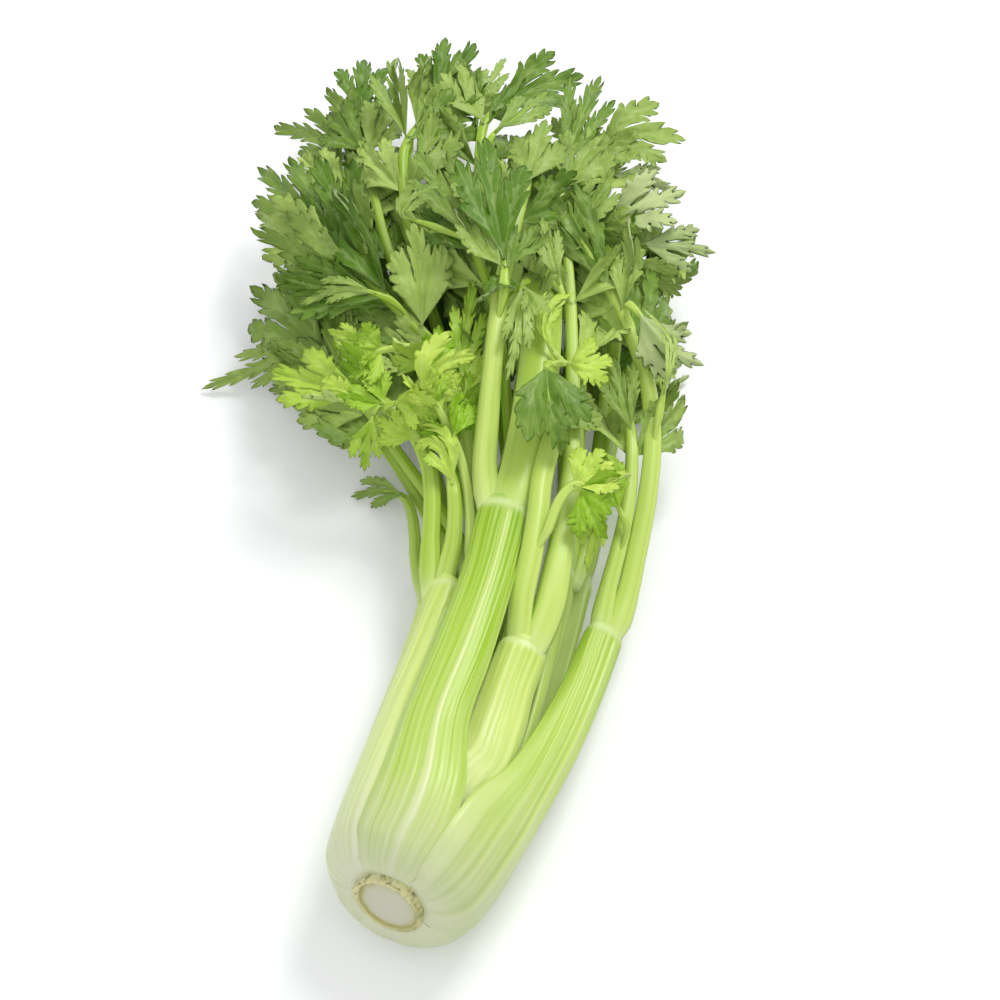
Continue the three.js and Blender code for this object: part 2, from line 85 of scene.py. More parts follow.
middle = (plan_low + plan_high) / 2
backwards = Vector((0, -math.cos(CAMERA_TILT), math.sin(CAMERA_TILT)))
camera = bpy.data.objects.new("camera", bpy.data.cameras.new("camera"))
camera.data.lens = 100
camera.data.sensor_width = 36
camera.location = middle + AIM + CAMERA_DISTANCE * backwards
camera.rotation_euler = backwards.to_track_quat("Z", "Y").to_euler()
scene.collection.objects.link(camera)
scene.camera = camera
scene.view_settings.view_transform = "Standard"
print("camera at", [round(c, 3) for c in camera.location])


# %% Helpers for colours and nodes
def linear(code):
    """An sRGB hex colour as linear red, green, blue and alpha."""
    parts = [int(code[i : i + 2], 16) / 255 for i in (1, 3, 5)]
    return tuple(c / 12.92 if c <= 0.04045 else ((c + 0.055) / 1.055) ** 2.4 for c in parts) + (1.0,)


def add(tree, kind, *values, **options):
    """Adds a node with its settings and links.

    The values go to the inputs in order. An option with a capital names an input and the others are
    settings; stops are the places and hex colours of a ramp. A value that is a node or an output is
    linked from.
    """
    node = tree.nodes.new(kind)
    for number, (at, code) in enumerate(options.pop("stops", [])):
        known = node.color_ramp.elements
        element = known[number] if number < len(known) else known.new(at)
        element.position = at
        element.color = linear(code)
    for name, value in options.items():
        if name[0].islower():
            setattr(node, name, value)
    named = [name for name in options if name[0].isupper()]
    inputs = list(zip([socket for socket in node.inputs if socket.enabled], values))
    inputs += [(node.inputs[name.replace("_", " ")], options[name]) for name in named]
    for socket, value in inputs:
        if isinstance(value, bpy.types.Node):
            value = next(output for output in value.outputs if output.enabled)
        if isinstance(value, bpy.types.NodeSocket):
            tree.links.new(value, socket)
        else:
            socket.default_value = value
    return node


def new_material(name):
    """A material and its tree, which is empty."""
    material = bpy.data.materials.new(name)
    material.use_nodes = True
    material.node_tree.nodes.clear()
    return material, material.node_tree


print("mid grey is", round(linear("#808080")[0], 3), "in linear light")

# %% Table and light
TABLE_SIZE = 6.0
TABLE_CLEAR = 0.0004  # nothing comes nearer to the table than this
PAPER_FOR_PLANT = "#c2c6b8"  # the paper as the plant sees it; the camera sees it white
PAPER_GLOW = 0.1
ROOM_LIGHT = 0.67  # the room as the plant sees it; the camera sees it at 1, which is white

bpy.ops.mesh.primitive_plane_add(size=TABLE_SIZE)
table = bpy.context.object
table.name = "table"
paper, tree = new_material("white_paper_table")
rays = add(tree, "ShaderNodeLightPath").outputs
seen = add(tree, "ShaderNodeMath", rays["Is Camera Ray"], rays["Is Glossy Ray"], operation="MAXIMUM")
tint = add(tree, "ShaderNodeMix", seen, linear(PAPER_FOR_PLANT), WHITE, data_type="RGBA")
matte = add(tree, "ShaderNodeBsdfDiffuse", tint)
lift = add(tree, "ShaderNodeMath", seen, PAPER_GLOW, operation="MULTIPLY")
glow = add(tree, "ShaderNodeEmission", WHITE, lift)
add(tree, "ShaderNodeOutputMaterial", add(tree, "ShaderNodeAddShader", matte, glow))
table.data.materials.append(paper)

world = bpy.data.worlds.new("white_room")
world.use_nodes = True
scene.world = world
tree = world.node_tree
room = tree.nodes["Background"].inputs
room["Color"].default_value = linear("#fafcff")
to_camera = add(tree, "ShaderNodeLightPath").outputs["Is Camera Ray"]
level = add(tree, "ShaderNodeMath", to_camera, 1 - ROOM_LIGHT, ROOM_LIGHT, operation="MULTIPLY_ADD")
tree.links.new(level.outputs[0], room["Strength"])


def area_lamp(name, place, size, power):
    """A square lamp at a place, looking at the middle of the table."""
    lamp = bpy.data.objects.new(name, bpy.data.lights.new(name, "AREA"))
    lamp.data.size = size
    lamp.data.energy = power
    lamp.location = place
    lamp.rotation_euler = Vector(place).to_track_quat("Z", "Y").to_euler()
    scene.collection.objects.link(lamp)


area_lamp("window", (0.75, 1.0, 1.65), 0.8, 22)
area_lamp("fill", (-0.6, -1.4, 1.3), 1.4, 5.5)

# %% [markdown]
# ## Reading the plan
# A solid of the plan is a skin through rings of points with a pole at each end. Starting at the pole at
# its base, the first ring is what surrounds the pole, and each next ring is found from the edges that
# lead on. The rings come out in the order in which they were drawn, so the fine pieces know their middle
# line, their sides and which way they face.


# %% Walk the rings of a solid
def rings_of(name, sides, base_score):
    """The rings of a solid from its base to its end, as an array (rings, sides, 3)."""
    shape = bmesh.new()
    shape.from_mesh(frame["nodes"][name].data)
    bmesh.ops.remove_doubles(shape, verts=shape.verts, dist=1e-6)
    near = {v: {e.other_vert(v) for e in v.link_edges} for v in shape.verts}
    poles = [v for v in shape.verts if len(near[v]) == sides and all(len(near[w]) == 5 for w in near[v])]
    base = min(poles, key=lambda pole: base_score(pole.co, [w.co for w in near[pole]]))
    follows = {}
    for face in base.link_faces:
        turn = [loop.vert for loop in face.loops]
        at = turn.index(base)
        follows[turn[(at + 2) % 3]] = turn[(at + 1) % 3]
    ring = [next(iter(follows))]
    while len(ring) < sides:
        ring.append(follows[ring[-1]])
    rings, seen_so_far = [ring], {base, *ring}
    while True:
        onward = [near[ring[k]] & near[ring[k - 1]] - seen_so_far for k in range(sides)]
        ring = [found.pop() for found in onward if found]
        if len(set(ring)) < sides:
            break
        seen_so_far.update(ring)
        rings.append(ring)
    points = np.array([[v.co[:] for v in r] for r in rings])
    shape.free()
    return points


def height_of_ring(pole, ring):
    """How thick a ring is across its thin way, negative, so that a thick base scores lowest."""
    spread = np.array([p[:] for p in ring])
    return -np.linalg.svd(spread - spread.mean(0))[1][1]


CROWN_SIDES = 28
STALK_SIDES = 9
FAR_EDGE = 5
LEAF_SIDES = 5
LEAF_EDGE = 3
LEAF_FACE = np.array([0, -0.5, 0.87])  # the way that the ridges of the leaves face
CUT_BACK = 0.004  # the cut is made this much further up the plant than in the plan

crown_rings = rings_of("crown", CROWN_SIDES, lambda pole, ring: pole.y)
crown_base = crown_rings[0].mean(0)
crown_axis = crown_rings[-1].mean(0) - crown_base
crown_axis[2] = 0.0
crown_axis /= np.linalg.norm(crown_axis)
crown_base = crown_base + CUT_BACK * crown_axis
crown_up = np.array([0, 0, 1.0])
crown_side = np.cross(crown_axis, crown_up)
cut_rim = crown_rings[0] - crown_base
cut_slope = (cut_rim @ crown_axis) @ cut_rim[:, 2] / (cut_rim[:, 2] ** 2).sum()


def near_crown(pole, ring):
    """How near a pole is to the middle of the cut face, so that a far pole scores lowest."""
    return -(pole - Vector(crown_base)).length


# A stalk is walked from its far end, because the flat cut hides which point is the pole at its base. Its
# rings then start at the edge from which the other edge is FAR_EDGE sides on, over the outside.
stalk_rings = {}
for name in stalk_names:
    rings = rings_of(name, STALK_SIDES, near_crown)[::-1, ::-1]
    reach = np.linalg.norm(rings[0][:, None] - rings[0][None], axis=2)
    first, second = divmod(int(reach.argmax()), STALK_SIDES)
    start = first if (second - first) % STALK_SIDES == FAR_EDGE else second
    stalk_rings[name] = np.roll(rings, -start, axis=1)

# The rings of a leaf start at one edge; the other edge is LEAF_EDGE sides on, and its ridge comes last.
leaf_rings = {}
for name in leaf_names:
    rings = rings_of(name, LEAF_SIDES, height_of_ring)
    ridge = int((rings[0] @ LEAF_FACE).argmax())
    leaf_rings[name] = np.roll(rings, LEAF_SIDES - 1 - ridge, axis=1)
print("cut slanted by", round(math.degrees(math.atan(cut_slope)), 1), "degrees")
print("crown", crown_rings.shape, "stalk", {r.shape for r in stalk_rings.values()},
      "leaf", {r.shape for r in leaf_rings.values()})


# %% Smooth lines through points
def smooth(points, shares, closed=False):
    """Values at shares 0..1 of the length of a Catmull-Rom line through points of any dimension."""
    points = np.asarray(points, float)
    flat = points.reshape(len(points), -1)
    guide = flat if points.ndim == 2 else points.mean(1)
    if closed:
        flat = np.vstack([flat[-1:], flat, flat[:2]])
        guide = np.vstack([guide[-1:], guide, guide[:2]])
    else:
        flat = np.vstack([2 * flat[0] - flat[1], flat, 2 * flat[-1] - flat[-2]])
        guide = np.vstack([2 * guide[0] - guide[1], guide, 2 * guide[-1] - guide[-2]])
    steps = np.sqrt(np.maximum(np.linalg.norm(np.diff(guide, axis=0), axis=1), 1e-9))
    knots = np.concatenate([[0], np.cumsum(steps)])
    spans = gone_along(guide[1:-1])
    at = np.interp(np.asarray(shares) * spans[-1], spans, knots[1:-1])
    segment = np.clip(np.searchsorted(knots, at, side="right") - 1, 1, len(knots) - 3)
    t = at[:, None]
    k = [knots[segment + d][:, None] for d in (-1, 0, 1, 2)]

    def between(values, n, over):
        run = k[n + over] - k[n]
        return (k[n + over] - t) / run * values[n] + (t - k[n]) / run * values[n + 1]

    p = [flat[segment + d] for d in (-1, 0, 1, 2)]
    a = [between(p, n, 1) for n in range(3)]
    b = [between(a, n, 2) for n in range(2)]
    value = (k[2] - t) / (k[2] - k[1]) * b[0] + (t - k[1]) / (k[2] - k[1]) * b[1]
    return value.reshape(len(value), *points.shape[1:])


def unit(vectors):
    """Vectors of length one."""
    return vectors / np.maximum(np.linalg.norm(vectors, axis=-1, keepdims=True), 1e-12)


def gone_along(points):
    """How far along a line each of its points is."""
    return np.concatenate([[0], np.cumsum(np.linalg.norm(np.diff(points, axis=0), axis=1))])


def write(mesh, key, numbers, domain="POINT"):
    """Gives every point or face of a mesh a named number, or three of them."""
    numbers = np.asarray(numbers, np.float32)
    kind, field = ("FLOAT", "value") if numbers.ndim == 1 else ("FLOAT_VECTOR", "vector")
    mesh.attributes.new(key, kind, domain).data.foreach_set(field, numbers.ravel())


def mesh_from(name, points, faces, values):
    """A smooth-shaded mesh with named numbers on its points."""
    mesh = bpy.data.meshes.new(name)
    mesh.from_pydata([tuple(p) for p in points], [], [tuple(f) for f in faces])
    for key, numbers in values.items():
        write(mesh, key, numbers)
    mesh.polygons.foreach_set("use_smooth", [True] * len(mesh.polygons))
    return mesh


def place(name, mesh):
    """An object of a mesh, at the origin."""
    thing = bpy.data.objects.new(name, mesh)
    scene.collection.objects.link(thing)
    return thing


print("half way round a corner:", smooth([[0, 0], [1, 0], [1, 1]], [0.5]).round(2).tolist())

# %% [markdown]
# ## What a stalk is made of
# A celery stalk is a fat leafstalk: a crescent of watery flesh with a ribbed outer skin. Each rib is a
# string of tough fibres close under the skin. It stands a fraction of a millimetre proud and is paler
# than the flesh between. The flesh in the grooves is drawn darker and greener, partly its own green and
# partly painted shade. Light hardly reaches the base, so it stays cream white, and the skin turns
# green further up. The skin is waxed and slightly wet, so its gloss is satin. The colour follows numbers
# on the mesh: how far up the stalk a point is, how much of a rib it is on, how green this stalk grew,
# and whether the point is on the inner side or near the joint of the leafstalks.

# %% Stalk skin material
PALE_WAY_UP = [[0.0, "#edecd8"], [0.13, "#e6ebc0"], [0.34, "#e3efa2"], [0.68, "#dfef8c"], [1.0, "#cce36e"]]
GREEN_WAY_UP = [[0.0, "#e2e5c4"], [0.1, "#d0dc98"], [0.26, "#bbd760"], [0.6, "#a5cb34"], [1.0, "#93bb24"]]
RIB_WAY_UP = [[0.0, "#eae9d2"], [0.3, "#e8f1b2"], [1.0, "#dcee92"]]
GROOVE_SHADE_TINT = "#c6d982"
JOINT_COLOUR = "#dfecaa"
INSIDE_COLOUR = "#e6f1ae"

stalk_skin, tree = new_material("celery_stalk_skin")
height, rib, green, inner, joint = (add(tree, "ShaderNodeAttribute", attribute_name=key).outputs["Fac"]
                                    for key in ("height", "rib", "green", "inner", "joint"))
skin_place = add(tree, "ShaderNodeAttribute", attribute_name="skin_mm").outputs["Vector"]
# Slow bands along the stalk, about 8 mm wide, where it grew greener or paler.
broad_place = add(tree, "ShaderNodeVectorMath", skin_place, (0.13, 0.004, 1.0), operation="MULTIPLY")
bands = add(tree, "ShaderNodeTexNoise", Vector=broad_place, Scale=1.0, Detail=1.0)
band = add(tree, "ShaderNodeMath", bands, 1.1, -0.55, operation="MULTIPLY_ADD")
grown_green = add(tree, "ShaderNodeMath", green, band, operation="ADD", use_clamp=True)
pale_flesh = add(tree, "ShaderNodeValToRGB", height, stops=PALE_WAY_UP)
green_flesh = add(tree, "ShaderNodeValToRGB", height, stops=GREEN_WAY_UP)
flesh = add(tree, "ShaderNodeMix", grown_green, pale_flesh, green_flesh, data_type="RGBA")
# Fine streaks along the stalk, half a millimetre wide, from the point's own place on the skin.
stretched = add(tree, "ShaderNodeVectorMath", skin_place, (1.6, 0.05, 1.0), operation="MULTIPLY")
streaks = add(tree, "ShaderNodeTexNoise", Vector=stretched, Scale=1.0, Detail=3.0, Roughness=0.6)
streak = add(tree, "ShaderNodeMath", streaks, 0.7, -0.35, operation="MULTIPLY_ADD")
above = add(tree, "ShaderNodeMath", rib, 0.42, operation="SUBTRACT")
lightness = add(tree, "ShaderNodeMath", above, 0.8, streak, operation="MULTIPLY_ADD")
paler = add(tree, "ShaderNodeMath", lightness, 0.55, operation="MULTIPLY", use_clamp=True)
# Below the height of a rib the flesh is darkened towards the groove tint: partly greener flesh, partly
# painted shade in the grooves.
groove_shade = add(tree, "ShaderNodeMath", lightness, -0.9, operation="MULTIPLY", use_clamp=True)
rib_colour = add(tree, "ShaderNodeValToRGB", height, stops=RIB_WAY_UP)
with_ribs = add(tree, "ShaderNodeMix", paler, flesh, rib_colour, data_type="RGBA")
groove_shade_colour = add(tree, "ShaderNodeMix", 1.0, flesh, linear(GROOVE_SHADE_TINT), data_type="RGBA",
             blend_type="MULTIPLY")
with_groove_shade = add(tree, "ShaderNodeMix", groove_shade, with_ribs, groove_shade_colour, data_type="RGBA")
half_inner = add(tree, "ShaderNodeMath", inner, 0.5, operation="MULTIPLY")
inside = add(tree, "ShaderNodeMix", half_inner, with_groove_shade, linear(INSIDE_COLOUR), data_type="RGBA")
near_joint = add(tree, "ShaderNodeMath", joint, 0.75, operation="MULTIPLY")
with_joint = add(tree, "ShaderNodeMix", near_joint, inside, linear(JOINT_COLOUR), data_type="RGBA")
bump = add(tree, "ShaderNodeBump", Strength=0.2, Distance=0.0003, Height=streaks)
shader = add(tree, "ShaderNodeBsdfPrincipled", Base_Color=with_joint, Normal=bump, Roughness=0.3, IOR=1.4,
             Specular_IOR_Level=0.45)
add(tree, "ShaderNodeOutputMaterial", shader)
print("material", stalk_skin.name)

# %% [markdown]
# ## The ribs as a Geometry Nodes tree
# Ribs repeat across the skin and follow it from base to joint, so a node tree raises them. It reads
# where a point is across the skin, in millimetres of the full width, so the ribs draw together where the
# stalk narrows, as strings do. Noise that is stretched along the stalk gives ribs of uneven width. One
# broad rib may be added, because most stalks have one string that is much thicker than the others.
# Its pale colour is also a painted highlight: a broad stripe that stands in for the glossy reflection
# along a stalk.


# %% Build the rib tree
def group_with(name, sockets):
    """A geometry node tree with a Geometry input and output and further named inputs."""
    tree = bpy.data.node_groups.new(name, "GeometryNodeTree")
    tree.interface.new_socket("Geometry", in_out="INPUT", socket_type="NodeSocketGeometry")
    for label, kind, value in sockets:
        socket = tree.interface.new_socket(label, in_out="INPUT", socket_type="NodeSocket" + kind)
        if value is not None:
            socket.default_value = value
    tree.interface.new_socket("Geometry", in_out="OUTPUT", socket_type="NodeSocketGeometry")
    return tree, tree.nodes.new("NodeGroupInput").outputs


def finish_group(tree, geometry, material):
    """Ends a tree: what it made is turned into real faces and is given its material."""
    real = add(tree, "GeometryNodeRealizeInstances", geometry)
    add(tree, "NodeGroupOutput", add(tree, "GeometryNodeSetMaterial", real, Material=material))


BROAD_RIB_AND_HIGHLIGHT_WIDTH = 2.4  # mm, from the middle of a broad rib to where it has almost gone
RIB_COLOUR_HEIGHT = 0.0005  # a rib that stands this proud has the full rib colour

tree, given = group_with("raise_ribs", [
    ("Rib Height", "Float", 0.0004),
    ("Rib Pitch", "Float", 2.2),
    ("Broad Rib At", "Float", 9.0),
    ("Broad Rib Height", "Float", 0.0),
    ("Seed", "Float", 0.0),
    ("Material", "Material", None),
])
ribs_tree = tree
skin = add(tree, "GeometryNodeInputNamedAttribute", "skin_mm", data_type="FLOAT_VECTOR")
ways = add(tree, "ShaderNodeSeparateXYZ", skin).outputs
across = add(tree, "ShaderNodeMath", ways["X"], given["Rib Pitch"], operation="DIVIDE")
along = add(tree, "ShaderNodeMath", ways["Y"], 0.006, operation="MULTIPLY")
spot = add(tree, "ShaderNodeCombineXYZ", across, along, given["Seed"])
uneven = add(tree, "ShaderNodeTexNoise", Vector=spot, Scale=1.0, Detail=1.0, Roughness=0.45)
wave = add(tree, "ShaderNodeMapRange", uneven, 0.3, 0.7, interpolation_type="SMOOTHSTEP")
fine = add(tree, "ShaderNodeMath", wave, given["Rib Height"], operation="MULTIPLY")
off = add(tree, "ShaderNodeMath", ways["X"], given["Broad Rib At"], operation="SUBTRACT")
off_share = add(tree, "ShaderNodeMath", off, BROAD_RIB_AND_HIGHLIGHT_WIDTH, operation="DIVIDE")
squared = add(tree, "ShaderNodeMath", off_share, off_share, operation="MULTIPLY")
rib_and_highlight_bell = add(tree, "ShaderNodeMath", math.exp(-1), squared, operation="POWER")
total = add(tree, "ShaderNodeMath", rib_and_highlight_bell, given["Broad Rib Height"], fine, operation="MULTIPLY_ADD")
outside = add(tree, "GeometryNodeInputNamedAttribute", "outside", data_type="FLOAT")
shown = add(tree, "ShaderNodeMath", total, outside, operation="MULTIPLY")
push = add(tree, "ShaderNodeVectorMath", add(tree, "GeometryNodeInputNormal"), shown, operation="SCALE")
raised = add(tree, "GeometryNodeSetPosition", given["Geometry"], Offset=push)
# The rib colour follows the full height, so the broad rib is painted pale too, as a painted highlight.
colour_share = add(tree, "ShaderNodeMath", total, RIB_COLOUR_HEIGHT, operation="DIVIDE")
rib_share = add(tree, "ShaderNodeMix", outside, 0.4, colour_share, data_type="FLOAT")
stored = add(tree, "GeometryNodeStoreNamedAttribute", raised, Name="rib", Value=rib_share)
finish_group(tree, stored, given["Material"])


def grow(thing, tree, settings):
    """Gives an object a node tree with named settings, set by the sockets' identifiers."""
    modifier = thing.modifiers.new("grow", "NODES")
    modifier.node_group = tree
    for item in tree.interface.items_tree:
        if item.in_out == "INPUT" and item.name in settings:
            modifier[item.identifier] = settings[item.name]


def baked(things):
    """Turns what the node trees make of these objects into plain meshes, and removes the modifiers."""
    bpy.context.view_layer.update()
    graph = bpy.context.evaluated_depsgraph_get()
    made = [bpy.data.meshes.new_from_object(t.evaluated_get(graph), depsgraph=graph) for t in things]
    for thing, mesh in zip(things, made):
        thing.modifiers.clear()
        thing.data = mesh


print("tree", ribs_tree.name, len(ribs_tree.nodes), "nodes")

# %% [markdown]
# ## Stalks
# Each stalk is drawn through the rings of its solid, smoothed both ways. At the base it is tucked in
# under the rim of the crown, and at its end it closes in a low dome, where the leafstalks grow from it.

# %% The looks of the stalks, and their bases
ALONG_COUNT = 120  # rings along a stalk
OUTER_COUNT = 84  # points of a ring over its outside
INNER_COUNT = 26  # and over its inside
# How green each grew, its width in mm, and where its broad rib is, in mm from its middle, and how high;
# the broad rib is also a painted highlight.
STALK_LOOKS = {
    "front_stalk": (0.92, 54, -4.5, 0.0008),
    "left_stalk": (0.14, 44, -6.0, 0.0003),
    "right_stalk": (0.72, 46, -7.0, 0.0006),
    "under_left_stalk": (0.5, 44, 0.0, 0.0),
    "under_right_stalk": (0.6, 44, 3.0, 0.0003),
    "inner_front_stalk": (0.05, 34, 3.0, 0.0003),
    "inner_right_stalk": (0.55, 26, 0.0, 0.0),
    "inner_left_stalk": (0.3, 32, 0.0, 0.0),
    "inner_under_stalk": (0.3, 34, 0.0, 0.0),
    "heart_right_stalk": (0.1, 20, 0.0, 0.0),
    "heart_left_stalk": (0.1, 20, 0.0, 0.0),
}
RIM_TUCK = 0.016  # the radius that the base of an outer stalk is tucked in to
RIM_DEPTH = 0.0015  # and how much further in it lies there
SLANTED_BASE = 0.25  # the share of a stalk that follows the slant of the cut
SQUARE_BASE = 0.1  # the share over which the front edge of a stalk is drawn level with the cut
WRAPPED_BASE = 0.45  # the share over which its edges are drawn on round the bunch
EDGE_TUCK = 0.0006  # how much nearer to the axis each edge then lies than the skin beside it
BASE_CLOSE = 0.14  # how much wider the very base grows, so that its edges meet those of its neighbours
# How much wider than its solid each edge of a stalk grows at the base, where it wraps round the bunch,
# and by how much that end stands over its neighbours.
BASE_WRAP = {
    "front_stalk": (1.12, 1.12, 0.0),
    "left_stalk": (1.22, 1.14, 0.0),
    "right_stalk": (1.14, 1.22, 0.0012),
    "under_left_stalk": (1.24, 1.24, -0.0004),
    "under_right_stalk": (1.2, 1.24, -0.0004),
}


def tube_faces(count, around):
    """Faces of a tube of count rings, then a fan to a pole before the first and one after the last."""
    faces = []
    for r in range(count - 1):
        for k in range(around):
            a, b = r * around + k, r * around + (k + 1) % around
            faces.append((a, b, b + around, a + around))
    first, last = count * around, count * around + 1
    end = (count - 1) * around
    for k in range(around):
        faces.append((first, (k + 1) % around, k))
        faces.append((last, end + k, end + (k + 1) % around))
    return faces


def tucked(ring, radius, forwards):
    """A ring drawn in towards the crown's axis."""
    apart = ring - crown_base
    up_axis = apart @ crown_axis
    out = apart - np.outer(up_axis, crown_axis)
    wide = np.linalg.norm(out, axis=1, keepdims=True)
    return crown_base + np.outer(up_axis + forwards, crown_axis) + out / wide * np.minimum(wide, radius)


def wrapped(rings, first, last, proud):
    """The rings of a stalk with the edges of the lowest ones drawn on round the bunch."""
    rings = rings.copy()
    gone = gone_along(rings.mean(1))
    for ring, share in zip(rings, gone / gone[-1]):
        amount = 1 - min(share / WRAPPED_BASE, 1) ** 1.5
        slant = cut_slope * (1 - min(share / SLANTED_BASE, 1))
        square = 1 - min(share / SQUARE_BASE, 1)
        apart = ring - crown_base
        high = apart @ crown_axis
        out = apart - np.outer(high, crown_axis)
        high += CUT_BACK * square - slant * out[:, 2]
        high = high * (1 - square) + high[: FAR_EDGE + 1].min() * square
        wide = np.linalg.norm(out, axis=1)
        ahead = unit(out.mean(0))
        beside = np.cross(crown_axis, ahead)
        angle = np.arctan2(out @ beside, out @ ahead)
        edge = 1 if angle[0] > 0 else -1
        grow_by = np.where(angle * edge > 0, first, last)
        angle = angle * (1 + (grow_by - 1) * amount + BASE_CLOSE * square)
        wide[0] += (wide[1] - wide[0] - EDGE_TUCK) * amount
        wide[FAR_EDGE] += (wide[FAR_EDGE - 1] - wide[FAR_EDGE] - EDGE_TUCK) * amount
        wide = wide + proud * amount
        out = wide[:, None] * (np.outer(np.cos(angle), ahead) + np.outer(np.sin(angle), beside))
        ring[:] = crown_base + out + np.outer(high + slant * out[:, 2], crown_axis)
    return rings


print(len(STALK_LOOKS), "stalks,", len(BASE_WRAP), "of them wrapped round the others")

# %% The skin of a stalk
# The rings in the low dome at the end of a stalk: their share of its width, and how high they stand.
DOME = [(0.96, 0.0012), (0.86, 0.0024), (0.64, 0.0034), (0.34, 0.0039)]
DOME_TOP = 0.0004  # how far the end of the dome stands above its last ring
JOINT_AT = 0.975  # where up a stalk it swells a little, below the joint of its leafstalks
JOINT_SWELLING = 0.05

# Places round a stalk: from 0 to 1 over its ribbed outside, then from 1 to 2 back over its inside.
turns = np.concatenate([np.linspace(0, 1, OUTER_COUNT, endpoint=False),
                        1 + np.linspace(0, 1, INNER_COUNT, endpoint=False)])
across_share = np.where(turns < 1, 1 - 2 * turns, -1 + 2 * (turns - 1))


def hump(values, middle, width):
    """A smooth hump: 1 at the middle, and almost 0 at two widths from it."""
    return np.exp(-(((values - middle) / width) ** 2))


def stalk_points(name):
    """The points of the skin of a stalk, ring by ring, then its two poles; and how far up each ring is."""
    rings = stalk_rings[name]
    if name in BASE_WRAP:
        rings = wrapped(rings, *BASE_WRAP[name])
        rings = np.concatenate([tucked(rings[0], RIM_TUCK, RIM_DEPTH)[None], rings])
    fine = smooth(rings, np.linspace(0, 1, ALONG_COUNT) ** 1.15)
    gone = gone_along(fine.mean(1))
    points = []
    for ring, share in zip(fine, gone / gone[-1]):
        steps = np.linalg.norm(np.diff(np.vstack([ring, ring[:1]]), axis=0), axis=1)
        edge = steps[:FAR_EDGE].sum() / steps.sum()
        shares = np.where(turns < 1, turns * edge, edge + (turns - 1) * (1 - edge))
        skin_line = smooth(ring, shares, closed=True)
        swelling = 1 + JOINT_SWELLING * hump(share, JOINT_AT, 0.018)
        points.append(skin_line.mean(0) + (skin_line - skin_line.mean(0)) * swelling)
    end_way = unit(fine[-1].mean(0) - fine[-3].mean(0))
    end_middle = points[-1].mean(0)
    dome = [end_middle + (points[-1] - end_middle) * s + end_way * h for s, h in DOME]
    poles = [points[0].mean(0), end_middle + end_way * (DOME[-1][1] + DOME_TOP)]
    return np.concatenate([*points, *dome, poles]), gone


def stalk_values(gone, green, wide_mm, seed):
    """The numbers that the skin of a stalk carries, ring by ring, then at its two poles."""
    share = np.append(gone / gone[-1], [1.0] * len(DOME))
    fade = np.interp(share, [0.01, 0.04, 0.16, 0.955, 0.985], [0.0, 0.6, 1.0, 1.0, 0.0])
    edge_fade = np.clip((1 - np.abs(across_share)) / 0.12, 0, 1)
    outside = np.outer(fade, np.where(turns < 1, edge_fade, 0))
    inner = np.outer(np.interp(share, [0.03, 0.08], [0, 1]), turns >= 1)
    skin_mm = np.zeros((len(share) * len(turns) + 2, 3))
    skin_mm[:-2, 0] = np.tile(across_share * wide_mm / 2, len(share))
    skin_mm[:-2, 1] = np.repeat(share * gone[-1] * 1000, len(turns))
    skin_mm[:, 2] = seed
    return {
        "height": np.append(np.repeat(share, len(turns)), [0, 1]),
        "outside": np.append(outside, [0, 0]),
        "inner": np.append(inner, [0, 0]),
        "green": np.full(len(skin_mm), green),
        "joint": np.append(np.repeat(hump(share, 0.985, 0.014), len(turns)), [0, 1]),
        "skin_mm": skin_mm,
    }


print("a stalk is", ALONG_COUNT, "by", len(turns), "points, and", len(DOME), "rings of dome")

# %% Grow the stalks
stalk_faces = tube_faces(ALONG_COUNT + len(DOME), len(turns))
stalk_pieces = []
for number, name in enumerate(stalk_names):
    green_share, wide_mm, rib_highlight_at, rib_highlight_height = STALK_LOOKS[name]
    skin_points, gone = stalk_points(name)
    values = stalk_values(gone, green_share, wide_mm, number * 17.3)
    piece = place(name + "_ribbed", mesh_from(name, skin_points, stalk_faces, values))
    grow(piece, ribs_tree, {
        "Rib Height": 0.0005,
        "Rib Pitch": 2.2,
        "Broad Rib At": rib_highlight_at,
        "Broad Rib Height": rib_highlight_height,
        "Seed": number * 5.1,
        "Material": stalk_skin,
    })
    stalk_pieces.append((name, piece))
baked([piece for _, piece in stalk_pieces])
# The lowest stalks lie on the table, which presses their ribs flat.
for _, piece in stalk_pieces:
    corners = np.empty(len(piece.data.vertices) * 3, np.float32)
    piece.data.vertices.foreach_get("co", corners)
    corners[2::3] = np.maximum(corners[2::3], TABLE_CLEAR)
    piece.data.vertices.foreach_set("co", corners)
    piece.data.update()
print(len(stalk_pieces), "stalks,", sum(len(p.data.polygons) for _, p in stalk_pieces), "faces")

# %% [markdown]
# ## The cut crown
# Where the head was cut from its root, a round of the short stem shows: pale, dense pith, a darker ring
# where the vessels run, and round it a torn collar of the first leaf bases. The pith dries to a grey
# cream, the vessel ring turns olive, and the torn rim browns a little. The round is turned like a plate
# on the plan's own axis, and a node tree roughens its collar, because tearing leaves no two places
# alike.

# %% Crown material
CUT_COLOURS = [[0.0, "#dfdccf"], [0.55, "#dedbc8"], [0.7, "#d9d6b6"], [0.78, "#c6c38a"], [0.83, "#aea75a"],
               [0.87, "#cdc98e"], [0.905, "#f3edba"], [0.96, "#ece5a4"], [1.0, "#dfe2ba"]]
BRUISE_COLOUR = "#a39c4c"
NOTCH_SHADE_COLOUR = "#86792f"
STAIN_COLOUR = "#7f9438"
GRAIN_COLOUR = "#c9c8a2"

